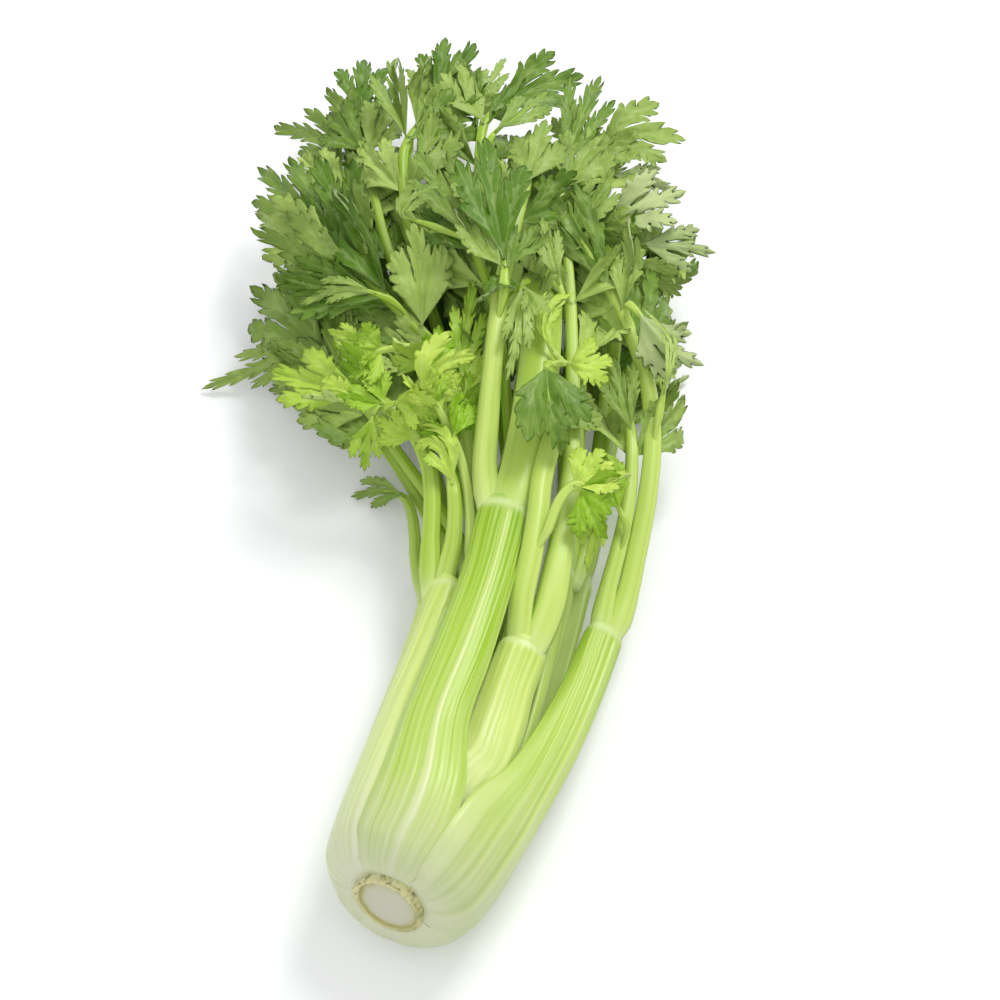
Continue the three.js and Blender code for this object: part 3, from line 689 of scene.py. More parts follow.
crown_skin, tree = new_material("celery_cut_crown")
out, bruise, stain, notch = (add(tree, "ShaderNodeAttribute", attribute_name=key).outputs["Fac"]
                             for key in ("out", "bruise", "stain", "notch"))
spot = add(tree, "ShaderNodeTexCoord").outputs["Object"]
blotch = add(tree, "ShaderNodeTexNoise", Vector=spot, Scale=1 / 0.005, Detail=3.0)
fine_grain = add(tree, "ShaderNodeTexNoise", Vector=spot, Scale=1 / 0.0007, Detail=2.0)
shift = add(tree, "ShaderNodeMath", blotch, 0.1, -0.05, operation="MULTIPLY_ADD")
uneven_out = add(tree, "ShaderNodeMath", out, shift, operation="ADD")
colour = add(tree, "ShaderNodeValToRGB", uneven_out, stops=CUT_COLOURS)
brown = add(tree, "ShaderNodeMath", bruise, blotch, operation="MULTIPLY")
grain = add(tree, "ShaderNodeMath", fine_grain, 0.25, operation="MULTIPLY")
# Over the colours of the cut lie bruises, painted shade in the notches between the tears, a green stain
# and a fine grain.
layers = ((brown, BRUISE_COLOUR), (notch, NOTCH_SHADE_COLOUR), (stain, STAIN_COLOUR), (grain, GRAIN_COLOUR))
for share, code in layers:
    colour = add(tree, "ShaderNodeMix", share, colour, linear(code), data_type="RGBA")
bump = add(tree, "ShaderNodeBump", Strength=0.35, Distance=0.0004, Height=fine_grain)
shader = add(tree, "ShaderNodeBsdfPrincipled", Base_Color=colour, Normal=bump, Roughness=0.55,
             Subsurface_Weight=0.1, Subsurface_Radius=(0.003, 0.003, 0.0015))
add(tree, "ShaderNodeOutputMaterial", shader)
print("material", crown_skin.name)

# %% Build the tree that roughens the collar
tree, given = group_with("rough_collar", [
    ("Tear Size", "Float", 0.0022),
    ("Tear Height", "Float", 0.0015),
    ("Seed", "Float", 0.0),
    ("Material", "Material", None),
])
collar_tree = tree
tear_scale = add(tree, "ShaderNodeMath", 1.0, given["Tear Size"], operation="DIVIDE")
tear = add(tree, "ShaderNodeTexNoise", Vector=add(tree, "GeometryNodeInputPosition"), W=given["Seed"],
           Scale=tear_scale, Detail=2.0, noise_dimensions="4D")
above = add(tree, "ShaderNodeMath", tear, 0.42, operation="SUBTRACT")
tall = add(tree, "ShaderNodeMath", above, given["Tear Height"], operation="MULTIPLY")
collar = add(tree, "GeometryNodeInputNamedAttribute", "collar", data_type="FLOAT")
torn = add(tree, "ShaderNodeMath", tall, collar, operation="MULTIPLY")
push = add(tree, "ShaderNodeVectorMath", add(tree, "GeometryNodeInputNormal"), torn, operation="SCALE")
rough = add(tree, "GeometryNodeSetPosition", given["Geometry"], Offset=push)
# The deepest places between the tears, outside the collar, get painted shade.
deep = add(tree, "ShaderNodeMapRange", tear, 0.47, 0.39, 0.0, 1.0)
outer_side = add(tree, "GeometryNodeInputNamedAttribute", "outer_side", data_type="FLOAT")
painted_notch_shade = add(tree, "ShaderNodeMath", deep, outer_side, operation="MULTIPLY", use_clamp=True)
noted = add(tree, "GeometryNodeStoreNamedAttribute", rough, Name="notch", Value=painted_notch_shade)
finish_group(tree, noted, given["Material"])
print("tree", collar_tree.name, len(collar_tree.nodes), "nodes")

# %% Turn the crown
# Each entry is a radius and how far it stands in front of the cut, in mm: the cut face, the groove of
# the ring of vessels, the torn collar, and the back that fills the bunch between the bases of the
# stalks.
CROWN_PROFILE = [
    [0, 0.4], [5.5, 0.35], [9.5, 0.2], [12, -0.1], [13.4, -0.4], [14.1, -0.45], [14.6, 0.1],
    [15.2, 0.9], [15.9, 1.2], [16.6, 0.8], [17.1, -0.2], [17.4, -3.4], [20, -4.4], [23.5, -5.4],
    [27, -7.5], [29.5, -11], [29, -17], [15, -25], [3, -31],
]
CROWN_TURNS = 260
CROWN_ROWS = 120
CROWN_POLES = [-0.4, 32]  # mm behind the cut, on the axis
COLLAR_FROM = 14.2
COLLAR_RADIUS = 16.2
WIDEST_FRONT = 17.4

profile = smooth(CROWN_PROFILE, np.linspace(0.012, 1, CROWN_ROWS)) * MM
turn = np.linspace(0, 2 * math.pi, CROWN_TURNS, endpoint=False)
spokes = (np.outer(np.cos(turn), crown_side) + np.outer(np.sin(turn), crown_up)
          + np.outer(np.sin(turn), crown_axis) * cut_slope)
# The collar is torn low on the under side, where the knife leaned.
torn_low = 0.2 + 0.8 * np.clip(np.sin(turn) * 1.5 + 0.6, 0, 1)
lean = np.where((profile[:, :1] > COLLAR_FROM * MM) & (profile[:, 1:] > 0), torn_low, 1)
points = (crown_base + profile[:, 0, None, None] * spokes
          - (profile[:, 1:] * lean)[..., None] * crown_axis).reshape(-1, 3)
poles = [crown_base + back * MM * crown_axis for back in CROWN_POLES]
radius = np.repeat(profile[:, 0], CROWN_TURNS) / MM
front = np.repeat(profile[:, 1] > -3 * MM, CROWN_TURNS)
around = np.tile(turn, CROWN_ROWS)
upper = np.clip(np.sin(around - 0.35) * 1.5 + 0.55, 0, 1)
on_collar = hump(radius, COLLAR_RADIUS, 1.1)
low_right = 0.5 * (1 - upper) + hump(around, 5.6, 0.6) + 0.6 * hump(around, 0.5, 0.3)
stained_spot = 0.8 * hump(around, 0.25, 0.14) * hump(radius, 16.6, 1.3)
values = {
    "out": np.append(np.where(front, radius / WIDEST_FRONT, 1.0), [0, 1]),
    "collar": np.append(3 * on_collar * front * (0.25 + 0.75 * upper), [0, 0]),
    "outer_side": np.append(np.clip((radius - COLLAR_RADIUS) / 0.5, 0, 1) * front * upper, [0, 0]),
    "bruise": np.append(low_right * on_collar, [0, 0]),
    "stain": np.append(stained_spot * front, [0, 0]),
}
faces = [tuple(reversed(f)) for f in tube_faces(CROWN_ROWS, CROWN_TURNS)]
mesh = mesh_from("crown_cut_face", np.vstack([points, poles]), faces, values)
crown_piece = place("crown_cut_face", mesh)
settings = {"Tear Size": 0.0026, "Tear Height": 0.0024, "Seed": 4.0, "Material": crown_skin}
grow(crown_piece, collar_tree, settings)
baked([crown_piece])
shape = bmesh.new()
shape.from_mesh(crown_piece.data)
print("crown", len(shape.faces), "faces,", round(shape.calc_volume() * 1e6, 1), "cubic centimetres")
shape.free()

# %% [markdown]
# ## Leaflets
# A celery leaf is divided: its leafstalk carries leaflets, and each leaflet is itself cut into lobes
# with coarse, forward-pointing teeth. One strong vein runs into each lobe, and a thinner one into each
# tooth. The outline is built by that rule, lobe by lobe, and then filled with triangles whose edges run
# along the veins, so that a vein can be drawn and dented as a sharp line. Upper and under skin share the
# margin, so that the leaflet is a closed lens half a millimetre thick.

# %% One side of a lobe
EXTRA_NOTCH = 0.2  # the chance that a tooth has a small notch on its long side


def lobe_side(origin, tip, half, start, teeth, side, rng):
    """Points along one side of a lobe, from a share of its length on, and the tips of its teeth."""
    ahead = tip - origin
    across = np.array([ahead[1], -ahead[0]]) / np.linalg.norm(ahead) * side

    def at(share, width):
        wedge = share / 0.6 if share < 0.6 else 1 - 0.5 * ((share - 0.6) / 0.4) ** 1.4
        return origin + ahead * share + across * half * wedge * width

    points, ends = [], []
    step = (1 - start) / (teeth + 1.0)
    for i in range(teeth):
        a = start + i * step
        b = a + step * rng.uniform(0.9, 1.06)
        width = rng.uniform(1.08, 1.36)
        rise = [(0.0, 0.9), (0.3, 0.98)] if i == 0 else [(0.0, 0.42), (0.3, 0.74)]
        if rng.random() < EXTRA_NOTCH:
            rise += [(0.62, 1.08), (0.6, 0.94)]
        tooth = [(0.22, 0.5 + 0.6 * width), (0.5, width), (0.34, 0.82)]
        points += [at(a + s * step, w) for s, w in rise + [(0.8, 1.0)]]
        points += [at(b + s * step, w) for s, w in tooth]
        ends.append((b, at(b + 0.4 * step, width)))
    last = start + teeth * step
    points += [at(last + s * step, w) for s, w in ((0.06, 0.42), (0.34, 0.66), (0.66, 0.52))]
    return points, ends


line, teeth = lobe_side(np.zeros(2), np.array([0, 1]), 0.2, 0.4, 3, 1, np.random.default_rng(1))
print("one side of a lobe has", len(line), "points and", len(teeth), "teeth")


# %% The outline and veins of a leaflet
def leaflet_plan(shape, rng):
    """The outline of a leaflet one unit long, and its veins as (from, to, strength)."""
    base = np.array([0.0, 0.03])
    top = np.array([0.0, 1.0])
    veins = [(np.array([0.0, 0.0]), np.array([0.0, 0.98]), 1.0)]
    halves = []
    for side in (1, -1):
        angle = math.radians(shape["angle"] * rng.uniform(0.9, 1.1)) * side
        length = shape["reach"] * rng.uniform(0.9, 1.06)
        tip = base + length * np.array([math.sin(angle), math.cos(angle)])
        outer, inner, middle = (
            lobe_side(base, end, shape[half], shape[start], shape[teeth], way * side, rng)
            for end, half, start, teeth, way in ((tip, "side_half", "outer_from", "outer_teeth", 1),
                                                 (tip, "side_half", "inner_from", "inner_teeth", -1),
                                                 (top, "half", "middle_from", "teeth", 1)))
        cut = shape["sinus"] * rng.uniform(0.92, 1.08)
        sinus = base + cut * np.array([math.sin(angle * 0.46), math.cos(angle * 0.46)])
        halves.append([np.array([0.016 * side, 0.0]), np.array([0.024 * side, 0.07])] + outer[0] + [tip]
                      + inner[0][::-1] + [sinus] + middle[0])
        veins.append((base, base + (tip - base) * 0.97, 0.85))
        for end, (_, teeth) in ((tip, outer), (tip, inner), (top, middle)):
            for share, tooth in teeth:
                root = base + (end - base) * max(share - 0.34, 0.12)
                veins.append((root, root + (tooth - root) * 0.92, 0.5))
    outline = halves[0] + [top] + halves[1][::-1]
    return np.array(outline), veins


def away_from(points, lines):
    """The distance of each point from each of the lines, given as their starts and their ends."""
    starts, ends = lines
    run = ends - starts
    share = np.einsum("pij,ij->pi", points[:, None] - starts, run) / (run**2).sum(1)
    foot = starts + np.clip(share, 0, 1)[..., None] * run
    return np.linalg.norm(points[:, None] - foot, axis=2)


beside_line = away_from(np.array([[1.0, 2.0]]), (np.array([[0.0, 0.0]]), np.array([[3.0, 0.0]])))
print("a point 2 beside a line is", beside_line.item(), "from it")


# %% Fill a leaflet with triangles
def inside_of(points, lines):
    """Whether each point is inside the closed outline that the lines make."""
    (x0, y0), (x1, y1) = lines[0].T, lines[1].T
    rises = (y1 > points[:, 1:]).astype(int) - (y0 > points[:, 1:])
    beyond = points[:, :1] < (x1 - x0) * (points[:, 1:] - y0) / np.where(y1 == y0, 1, y1 - y0) + x0
    return (rises * beyond).sum(1) != 0


def filled(rim, veins, grain):
    """Triangles that fill a rim, with edges along the veins: their corners and faces."""
    count = len(rim[0])
    points = [Vector(p) for p in rim[0]]
    edges = [(i, (i + 1) % count) for i in range(count)]
    for start, end in zip(*veins):
        parts = max(int(np.linalg.norm(end - start) / (grain * 1.2)), 1)
        base = len(points)
        points += [Vector(start + (end - start) * s) for s in np.linspace(0, 1, parts + 1)]
        edges += [(base + i, base + i + 1) for i in range(parts)]
    reach = np.abs(rim[0][:, 0]).max()
    rows = np.arange(0, 1.05, grain * 0.866)
    grid = np.array([(x + (i % 2) * grain / 2, y) for i, y in enumerate(rows)
                     for x in np.arange(-reach, reach + grain, grain)])
    clear = away_from(grid, rim).min(1) > 0.5 * grain
    clear &= away_from(grid, veins).min(1) > 0.45 * grain
    points += [Vector(p) for p in grid[clear]]
    made = delaunay_2d_cdt(points, edges, [], 0, 1e-5)
    flat = np.array([p[:] for p in made[0]])
    within = inside_of(np.array([flat[list(f)].mean(0) for f in made[2]]), rim)
    faces = []
    for f in (f for f, kept in zip(made[2], within) if kept):
        (ax, ay), (bx, by), (cx, cy) = flat[f[0]], flat[f[1]], flat[f[2]]
        turn = (bx - ax) * (cy - ay) - (by - ay) * (cx - ax)
        faces.append(tuple(f) if turn > 0 else tuple(reversed(f)))
    used = sorted({i for f in faces for i in f})
    back = {old: new for new, old in enumerate(used)}
    return flat[used], [tuple(back[i] for i in f) for f in faces]


square = np.array([[0, 0], [1, 0], [1, 1], [0, 1]])
square_rim = square, np.roll(square, -1, axis=0)
print("inside a square:", inside_of(np.array([[0.5, 0.5], [1.5, 0.5]]), square_rim).tolist())


# %% Make the leaflets
def leaflet_mesh(name, shape, rng, grain):
    """A flat leaflet, one unit long and one unit from its midrib to its widest point, as a closed lens."""
    outline, vein_list = leaflet_plan(shape, rng)
    rim = outline, np.roll(outline, -1, axis=0)
    veins = np.array([v[0] for v in vein_list]), np.array([v[1] for v in vein_list])
    strength = np.array([v[2] for v in vein_list])
    flat, faces = filled(rim, veins, grain)
    uses = {}
    for f in faces:
        for i in range(3):
            pair = (min(f[i], f[i - 1]), max(f[i], f[i - 1]))
            uses[pair] = uses.get(pair, 0) + 1
    on_rim = {i for pair, n in uses.items() if n == 1 for i in pair}
    inside = [i for i in range(len(flat)) if i not in on_rim]
    below = {i: len(flat) + n for n, i in enumerate(inside)}
    low_faces = [tuple(below.get(i, i) for i in reversed(f)) for f in faces]
    to_vein = away_from(flat, veins)
    to_rim = away_from(flat, rim).min(1)
    puff = 1 - np.exp(-to_vein.min(1) / (1.6 * grain))
    places = np.column_stack([flat[:, 0] / np.abs(outline[:, 0]).max(), flat[:, 1], 0.09 * puff])
    both = [*range(len(flat)), *inside]
    mesh = mesh_from(name, places[both], faces + low_faces, {
        "vein": (to_vein / strength).min(1)[both],
        "margin": np.clip(to_rim / (4 * grain), 0, 1)[both],
        "depth": [0.0] * len(flat) + [1.0] * len(inside),
    })
    write(mesh, "under", [0.0] * len(faces) + [1.0] * len(low_faces), "FACE")
    return mesh


# A fan has shallow cuts, a hand is cut to below its middle, and a feather has narrow lobes.
SHAPES = {
    "fan": {"angle": 33, "reach": 0.86, "sinus": 0.4, "side_half": 0.18, "half": 0.16,
            "outer_from": 0.46, "inner_from": 0.64, "middle_from": 0.52,
            "outer_teeth": 3, "inner_teeth": 1, "teeth": 2},
    "hand": {"angle": 31, "reach": 0.82, "sinus": 0.33, "side_half": 0.135, "half": 0.14,
             "outer_from": 0.46, "inner_from": 0.52, "middle_from": 0.48,
             "outer_teeth": 3, "inner_teeth": 2, "teeth": 2},
    "feather": {"angle": 29, "reach": 0.76, "sinus": 0.27, "side_half": 0.11, "half": 0.12,
                "outer_from": 0.46, "inner_from": 0.48, "middle_from": 0.44,
                "outer_teeth": 3, "inner_teeth": 2, "teeth": 3},
}
GRAIN = 0.034
rng = np.random.default_rng(11)
leaflets = {kind: [leaflet_mesh(f"{kind}_{i}", shape, rng, GRAIN) for i in range(3)]
            for kind, shape in SHAPES.items()}
print({kind: [len(m.polygons) for m in meshes] for kind, meshes in leaflets.items()}, "faces")

# %% [markdown]
# ## Growing along a rib
# Leaflets and leafstalks both follow a line: a leaflet its midrib, a leafstalk its own middle. One node
# tree bends any straight shape along such a rib. The rib carries, point by point, which way is sideways,
# which way is up and how wide the shape is there. Each half of a leaflet folds up about the midrib,
# droops at its edges and ripples, and the ripples grow towards the margin, as the cells there go on
# growing after the veins have stopped.

# %% Build the tree that bends a shape along a rib
tree, given = group_with("grow_along_rib", [
    ("Rib", "Object", None),
    ("Fold", "Float", 0.2),
    ("Edge Droop", "Float", 0.1),
    ("Thickness", "Float", 0.0005),
    ("Ripple", "Float", 0.001),
    ("Ripple Size", "Float", 0.02),
    ("Seed", "Float", 0.0),
    ("Material", "Material", None),
])
along_tree = tree
rib_shape = add(tree, "GeometryNodeObjectInfo", given["Rib"]).outputs["Geometry"]
rib_line = add(tree, "GeometryNodeMeshToCurve", rib_shape)
where = add(tree, "ShaderNodeSeparateXYZ", add(tree, "GeometryNodeInputPosition")).outputs
margin = add(tree, "GeometryNodeInputNamedAttribute", "margin", data_type="FLOAT")
depth = add(tree, "GeometryNodeInputNamedAttribute", "depth", data_type="FLOAT")
# The rib's own values at the share of its length that a point has as its Y.
along = where["Y"]
read = []
for key, kind in (("side", "FLOAT_VECTOR"), ("up", "FLOAT_VECTOR"), ("reach", "FLOAT")):
    own = add(tree, "GeometryNodeInputNamedAttribute", key, data_type=kind)
    read.append(add(tree, "GeometryNodeSampleCurve", rib_line, Value=own, Factor=along, data_type=kind))
sideways, upwards, half_width = read
# Each half folds up about the midrib and droops again towards its edge.
apart = add(tree, "ShaderNodeMath", where["X"], operation="ABSOLUTE")
folded = add(tree, "ShaderNodeMath", given["Fold"], operation="COSINE")
run = add(tree, "ShaderNodeMath", where["X"], folded, operation="MULTIPLY")
steep = add(tree, "ShaderNodeMath", given["Fold"], operation="SINE")
squared = add(tree, "ShaderNodeMath", apart, apart, operation="MULTIPLY")
droop = add(tree, "ShaderNodeMath", squared, given["Edge Droop"], operation="MULTIPLY")
level = add(tree, "ShaderNodeMath", where["Z"], droop, operation="SUBTRACT")
high = add(tree, "ShaderNodeMath", apart, steep, level, operation="MULTIPLY_ADD")
run_wide = add(tree, "ShaderNodeMath", run, half_width, operation="MULTIPLY")
high_wide = add(tree, "ShaderNodeMath", high, half_width, operation="MULTIPLY")
on_rib = sideways.outputs["Position"]
flat = add(tree, "ShaderNodeVectorMath", sideways, run_wide, on_rib, operation="MULTIPLY_ADD")
bent = add(tree, "ShaderNodeVectorMath", upwards, high_wide, flat, operation="MULTIPLY_ADD")
# The margin is looser than the middle, and ripples.
ripple_scale = add(tree, "ShaderNodeMath", 1.0, given["Ripple Size"], operation="DIVIDE")
waves = add(tree, "ShaderNodeTexNoise", Vector=bent, W=given["Seed"], Scale=ripple_scale, Detail=1.0,
            noise_dimensions="4D")
wave = add(tree, "ShaderNodeMath", waves, 2.0, -1.0, operation="MULTIPLY_ADD")
loose = add(tree, "ShaderNodeMath", 1.3, margin, operation="SUBTRACT")
loose_wave = add(tree, "ShaderNodeMath", wave, loose, operation="MULTIPLY")
thin = add(tree, "ShaderNodeMath", depth, given["Thickness"], operation="MULTIPLY")
sunk = add(tree, "ShaderNodeMath", 0.0, thin, operation="SUBTRACT")
moved = add(tree, "ShaderNodeMath", loose_wave, given["Ripple"], sunk, operation="MULTIPLY_ADD")
rippled = add(tree, "ShaderNodeVectorMath", upwards, moved, bent, operation="MULTIPLY_ADD")
# What would hang below the table lies on it, with its upper skin above its under skin.
ends = add(tree, "ShaderNodeSeparateXYZ", rippled).outputs
lowest = add(tree, "ShaderNodeMath", given["Thickness"], TABLE_CLEAR, operation="ADD")
floor = add(tree, "ShaderNodeMath", lowest, thin, operation="SUBTRACT")
kept = add(tree, "ShaderNodeMath", ends["Z"], floor, operation="MAXIMUM")
final = add(tree, "ShaderNodeCombineXYZ", ends["X"], ends["Y"], kept)
grown = add(tree, "GeometryNodeSetPosition", given["Geometry"], Position=final)
finish_group(tree, grown, given["Material"])
print("tree", along_tree.name, len(along_tree.nodes), "nodes")

# %% [markdown]
# ## What a leaf is made of
# The upper skin of a celery leaf is mid green with a soft waxy gloss, and the under skin is paler,
# greyer and duller. The veins are pale on both sides. Leaves of the heart, which grew in the shade of
# the others, are yellow green. The fine grain of the skin, of cells and small veins, is about a
# millimetre and a half wide.

# %% Leaf materials
VEIN_WIDTH = 0.01  # of the length of a leaflet
CELL = 0.0016
PATCH = 0.018


def leaf_material(name, upper_dark, upper_light, under_skin, vein_tint, cell_edge):
    """A leaf skin that reads its side, veins and own tone, which carries painted light and shade, from the
    mesh.
    """
    material, tree = new_material(name)
    under, vein, tone = (add(tree, "ShaderNodeAttribute", attribute_name=key).outputs["Fac"]
                         for key in ("under", "vein", "tone"))
    spot = add(tree, "ShaderNodeTexCoord").outputs["Object"]
    patches = add(tree, "ShaderNodeTexNoise", Vector=spot, Scale=1 / PATCH, Detail=2.0)
    shift = add(tree, "ShaderNodeMath", patches, 0.7, -0.35, operation="MULTIPLY_ADD")
    shade = add(tree, "ShaderNodeMath", tone, shift, operation="ADD", use_clamp=True)
    top = add(tree, "ShaderNodeMix", shade, linear(upper_dark), linear(upper_light), data_type="RGBA")
    dull = add(tree, "ShaderNodeMix", 0.5, linear(under_skin), top, data_type="RGBA")
    low = add(tree, "ShaderNodeMix", shade, dull, linear(under_skin), data_type="RGBA")
    skin = add(tree, "ShaderNodeMix", under, top, low, data_type="RGBA")
    off_vein = add(tree, "ShaderNodeMath", vein, VEIN_WIDTH, operation="DIVIDE", use_clamp=True)
    on_vein = add(tree, "ShaderNodeMath", off_vein, -0.22, 0.22, operation="MULTIPLY_ADD")
    veined = add(tree, "ShaderNodeMix", on_vein, skin, linear(vein_tint), data_type="RGBA")
    cells = add(tree, "ShaderNodeTexVoronoi", Vector=spot, Scale=1 / CELL, feature="DISTANCE_TO_EDGE")
    grain = add(tree, "ShaderNodeMath", cells, 1 / CELL, operation="MULTIPLY", use_clamp=True)
    edges = add(tree, "ShaderNodeMath", grain, -0.14, 0.14, operation="MULTIPLY_ADD")
    speckled = add(tree, "ShaderNodeMix", edges, veined, linear(cell_edge), data_type="RGBA")
    rough = add(tree, "ShaderNodeMath", under, 0.15, 0.45, operation="MULTIPLY_ADD")
    bump = add(tree, "ShaderNodeBump", Strength=0.3, Distance=0.0004, Height=grain)
    shader = add(tree, "ShaderNodeBsdfPrincipled", Base_Color=speckled, Normal=bump, Roughness=rough,
                 IOR=1.42, Specular_IOR_Level=0.35)
    add(tree, "ShaderNodeOutputMaterial", shader)
    return material


leaf_skin = leaf_material("celery_leaf_skin", "#587f1a", "#b2cc68", "#c3d294", "#c2d48c", "#aec76a")
young_skin = leaf_material("celery_heart_leaf_skin", "#92c026", "#cce462", "#cfe48a", "#dfee96", "#cde472")
print("materials", leaf_skin.name, young_skin.name)

# %% [markdown]
# ## Leaves
# Each leaf of the plan gives a middle line, its sides and its width. A leafstalk runs up that line, half
# round with shallow ribs, and goes on as the midrib. Where the blade begins, leaflets branch off: one at
# the tip, and a pair or two beside it on longer leaves. Leaves with long leafstalks also carry a few
# small leaflets lower down.

# %% A leafstalk to bend
STEM_SIDES = 20
STEM_ROWS = 48


def stem_mesh(name, seed, root_share, green, joined):
    """A straight half-round stem with ribs, one unit in radius and one unit long."""
    turn = np.linspace(0, 2 * math.pi, STEM_SIDES, endpoint=False)
    ribs = 1 + 0.06 * np.cos(5 * turn + seed) + 0.05 * np.cos(9 * turn + 2 * seed)
    flat = np.where(np.sin(turn) < 0, 0.72, 0.62)
    ring_x, ring_z = np.cos(turn) * ribs, np.sin(turn) * ribs * flat
    rows = np.linspace(0, 1, STEM_ROWS)
    points = [(x, y, z) for y in rows for x, z in zip(ring_x, ring_z)] + [(0, 0, 0), (0, 1, 0)]
    count = len(points)

    def along(numbers):
        return np.append(np.repeat(numbers, STEM_SIDES), numbers[[0, -1]])

    return mesh_from(name, points, [tuple(reversed(f)) for f in tube_faces(STEM_ROWS, STEM_SIDES)], {
        "rib": np.append(np.tile(np.clip(0.45 + 6 * (ribs - 1), 0, 1), STEM_ROWS), [0.4, 0.4]),
        "height": along(0.72 + 0.28 * rows),
        "margin": np.ones(count),
        "depth": np.zeros(count),
        "inner": np.zeros(count),
        "green": np.full(count, green),
        "joint": along(joined * hump(rows, 0, root_share)),
        "skin_mm": [(x * 5, y * 150, seed) for x, y, z in points],
    })


print("a leafstalk is", STEM_ROWS, "by", STEM_SIDES, "points")

# %% Ribs to grow along, and what grows on them
grown_parts = {name: [] for name in leaf_names}
rib_helpers = []


def grow_part(leaf, mesh, points, sides, ups, reaches, settings):
    """Adds a shape to a leaf, bent along points that each have a side, an up and a half width."""
    number = len(grown_parts[leaf])
    line = bpy.data.meshes.new(f"{leaf}_rib_{number}")
    line.from_pydata([tuple(p) for p in points], [(i, i + 1) for i in range(len(points) - 1)], [])
    for key, numbers in (("side", sides), ("up", ups), ("reach", reaches)):
        write(line, key, numbers)
    helper = place(line.name, line)
    part = place(f"{leaf}_part_{number}", mesh)
    grow(part, along_tree, {"Rib": helper, "Seed": number * 3.7 + leaf_names.index(leaf), **settings})
    rib_helpers.append(helper)
    grown_parts[leaf].append(part)


print(len(grown_parts), "leaves to grow")

# %% Read the line of a leaf
LINE_STEPS = 60
BLADE_RING = 5  # the ring of a leaf at which its blade begins


def leaf_line(name):
    """Middle line, side, up, half width and the length of a leaf's line, at even shares of its length."""
    rings = leaf_rings[name]
    right, left, ridge = rings[:, 0], rings[:, LEAF_EDGE], rings[:, -1]
    width = np.linalg.norm(left - right, axis=1)
    middle_line = (left + right) / 2
    middle_line[BLADE_RING + 1 :] = ridge[BLADE_RING + 1 :]
    data = np.concatenate([middle_line, unit(left - right) * 0.01, (width / 2)[:, None]], axis=1)
    fine = smooth(data, np.linspace(0, 1, LINE_STEPS + 1))
    line, side = fine[:, :3], unit(fine[:, 3:6])
    ahead = unit(np.gradient(line, axis=0))
    side = unit(side - ahead * (side * ahead).sum(1, keepdims=True))
    gone = gone_along(middle_line)
    return {"line": line, "ahead": ahead, "side": side, "up": np.cross(ahead, side), "half": fine[:, 6],
            "length": gone[-1], "root": gone[BLADE_RING] / gone[-1], "stem": width[0] / 2}


def at_share(leaf, share):
    """The place, directions and half width of a leaf at a share of its line."""
    i = share * LINE_STEPS
    low = int(min(i, LINE_STEPS - 1))
    t = i - low
    keys = ("line", "ahead", "side", "up", "half")
    return {key: leaf[key][low] * (1 - t) + leaf[key][low + 1] * t for key in keys}


leaves = {name: leaf_line(name) for name in leaf_names}
print("leaves from", round(min(leaf["length"] for leaf in leaves.values()), 3),
      "to", round(max(leaf["length"] for leaf in leaves.values()), 3), "m long")

# %% Grow a leaflet on a leaf
LEAF_THICKNESS = 0.0005
LEAFLET_STEPS = 10
TIP_STEPS = 15
# Leaves that lie with their under side up.
TURNED = {"inner_right_leaf_1", "inner_right_leaf_4", "right_leaf_3", "inner_right_leaf_5"}


def toned_leaflet(kind, leaf, spread, rng):
    """One of the leaflets of a kind, whose tone, with its painted light and shade, is its leaf's own but
    for a random spread.
    """
    mesh = leaflets[kind][rng.integers(len(leaflets[kind]))].copy()
    tone = np.clip(rng.normal(leaf["tone"], spread), 0, 1)
    write(mesh, "tone", np.full(len(mesh.vertices), tone))
    return mesh


def blade_settings(rng, folds, droops, ripple, half, material):
    """How much the blade of a leaflet folds, droops and ripples."""
    return {
        "Fold": float(rng.uniform(*folds)),
        "Edge Droop": float(rng.uniform(*droops)),
        "Thickness": LEAF_THICKNESS,
        "Ripple": float(ripple * half + 0.0006),
        "Ripple Size": float(max(half * 0.9, 0.006)),
        "Material": material,
    }


def rolled(side, up, roll):
    """Side and up directions turned about the way ahead."""
    return side * math.cos(roll) + up * math.sin(roll), up * math.cos(roll) - side * math.sin(roll)


def grow_leaflet(name, leaf, kind, start, turn, lift, curl, length, half, rng, material):
    """A leaflet that leaves the leaf's line at a share, turned sideways, along a gently curving rib."""
    mesh = toned_leaflet(kind, leaf, 0.34, rng)
    spot = at_share(leaf, start)
    roll = rng.uniform(-1.2, 1.2)
    at, up = spot["line"].copy(), spot["up"]
    way = unit(spot["ahead"] * math.cos(turn) + spot["side"] * math.sin(turn) + up * lift)
    points, directions = [], []
    for step in range(LEAFLET_STEPS + 1):
        side = unit(np.cross(up, way))
        side = unit(np.cross(way, np.cross(side, way)))
        up = np.cross(way, side)
        points.append(at.copy())
        directions.append(rolled(side, up, roll * (step + 1) / LEAFLET_STEPS))
        way = unit(way + side * (-0.5 * turn / LEAFLET_STEPS) + up * curl / LEAFLET_STEPS)
        at = at + way * length / LEAFLET_STEPS
    sides, ups = zip(*directions)
    settings = blade_settings(rng, (0.1, 1.0), (0.05, 0.7), 0.3, half, material)
    grow_part(name, mesh, points, sides, ups, [half] * len(points), settings)


# How the leaflets of a pair grow: the ranges of their size, turn, lift and curl, and how wide they are.
PAIR_BY_TIP = ((0.5, 0.62), (0.5, 0.85), (-0.25, 0.1), (-0.8, 0.2), 0.38)
PAIR_ON_BLADE = ((0.9, 1.1), (0.4, 0.75), (-0.2, 0.15), (-0.8, 0.2), 0.36)
PAIR_ON_STEM = ((0.045, 0.064), (0.4, 0.95), (-0.35, 0.15), (-1.0, 0.1), 0.37)
YOUNG_PAIR = ((0.02, 0.03), (0.4, 0.9), (0.0, 0.4), (-1.0, 0.4), 0.5)
FAN_CHANCE = 0.3


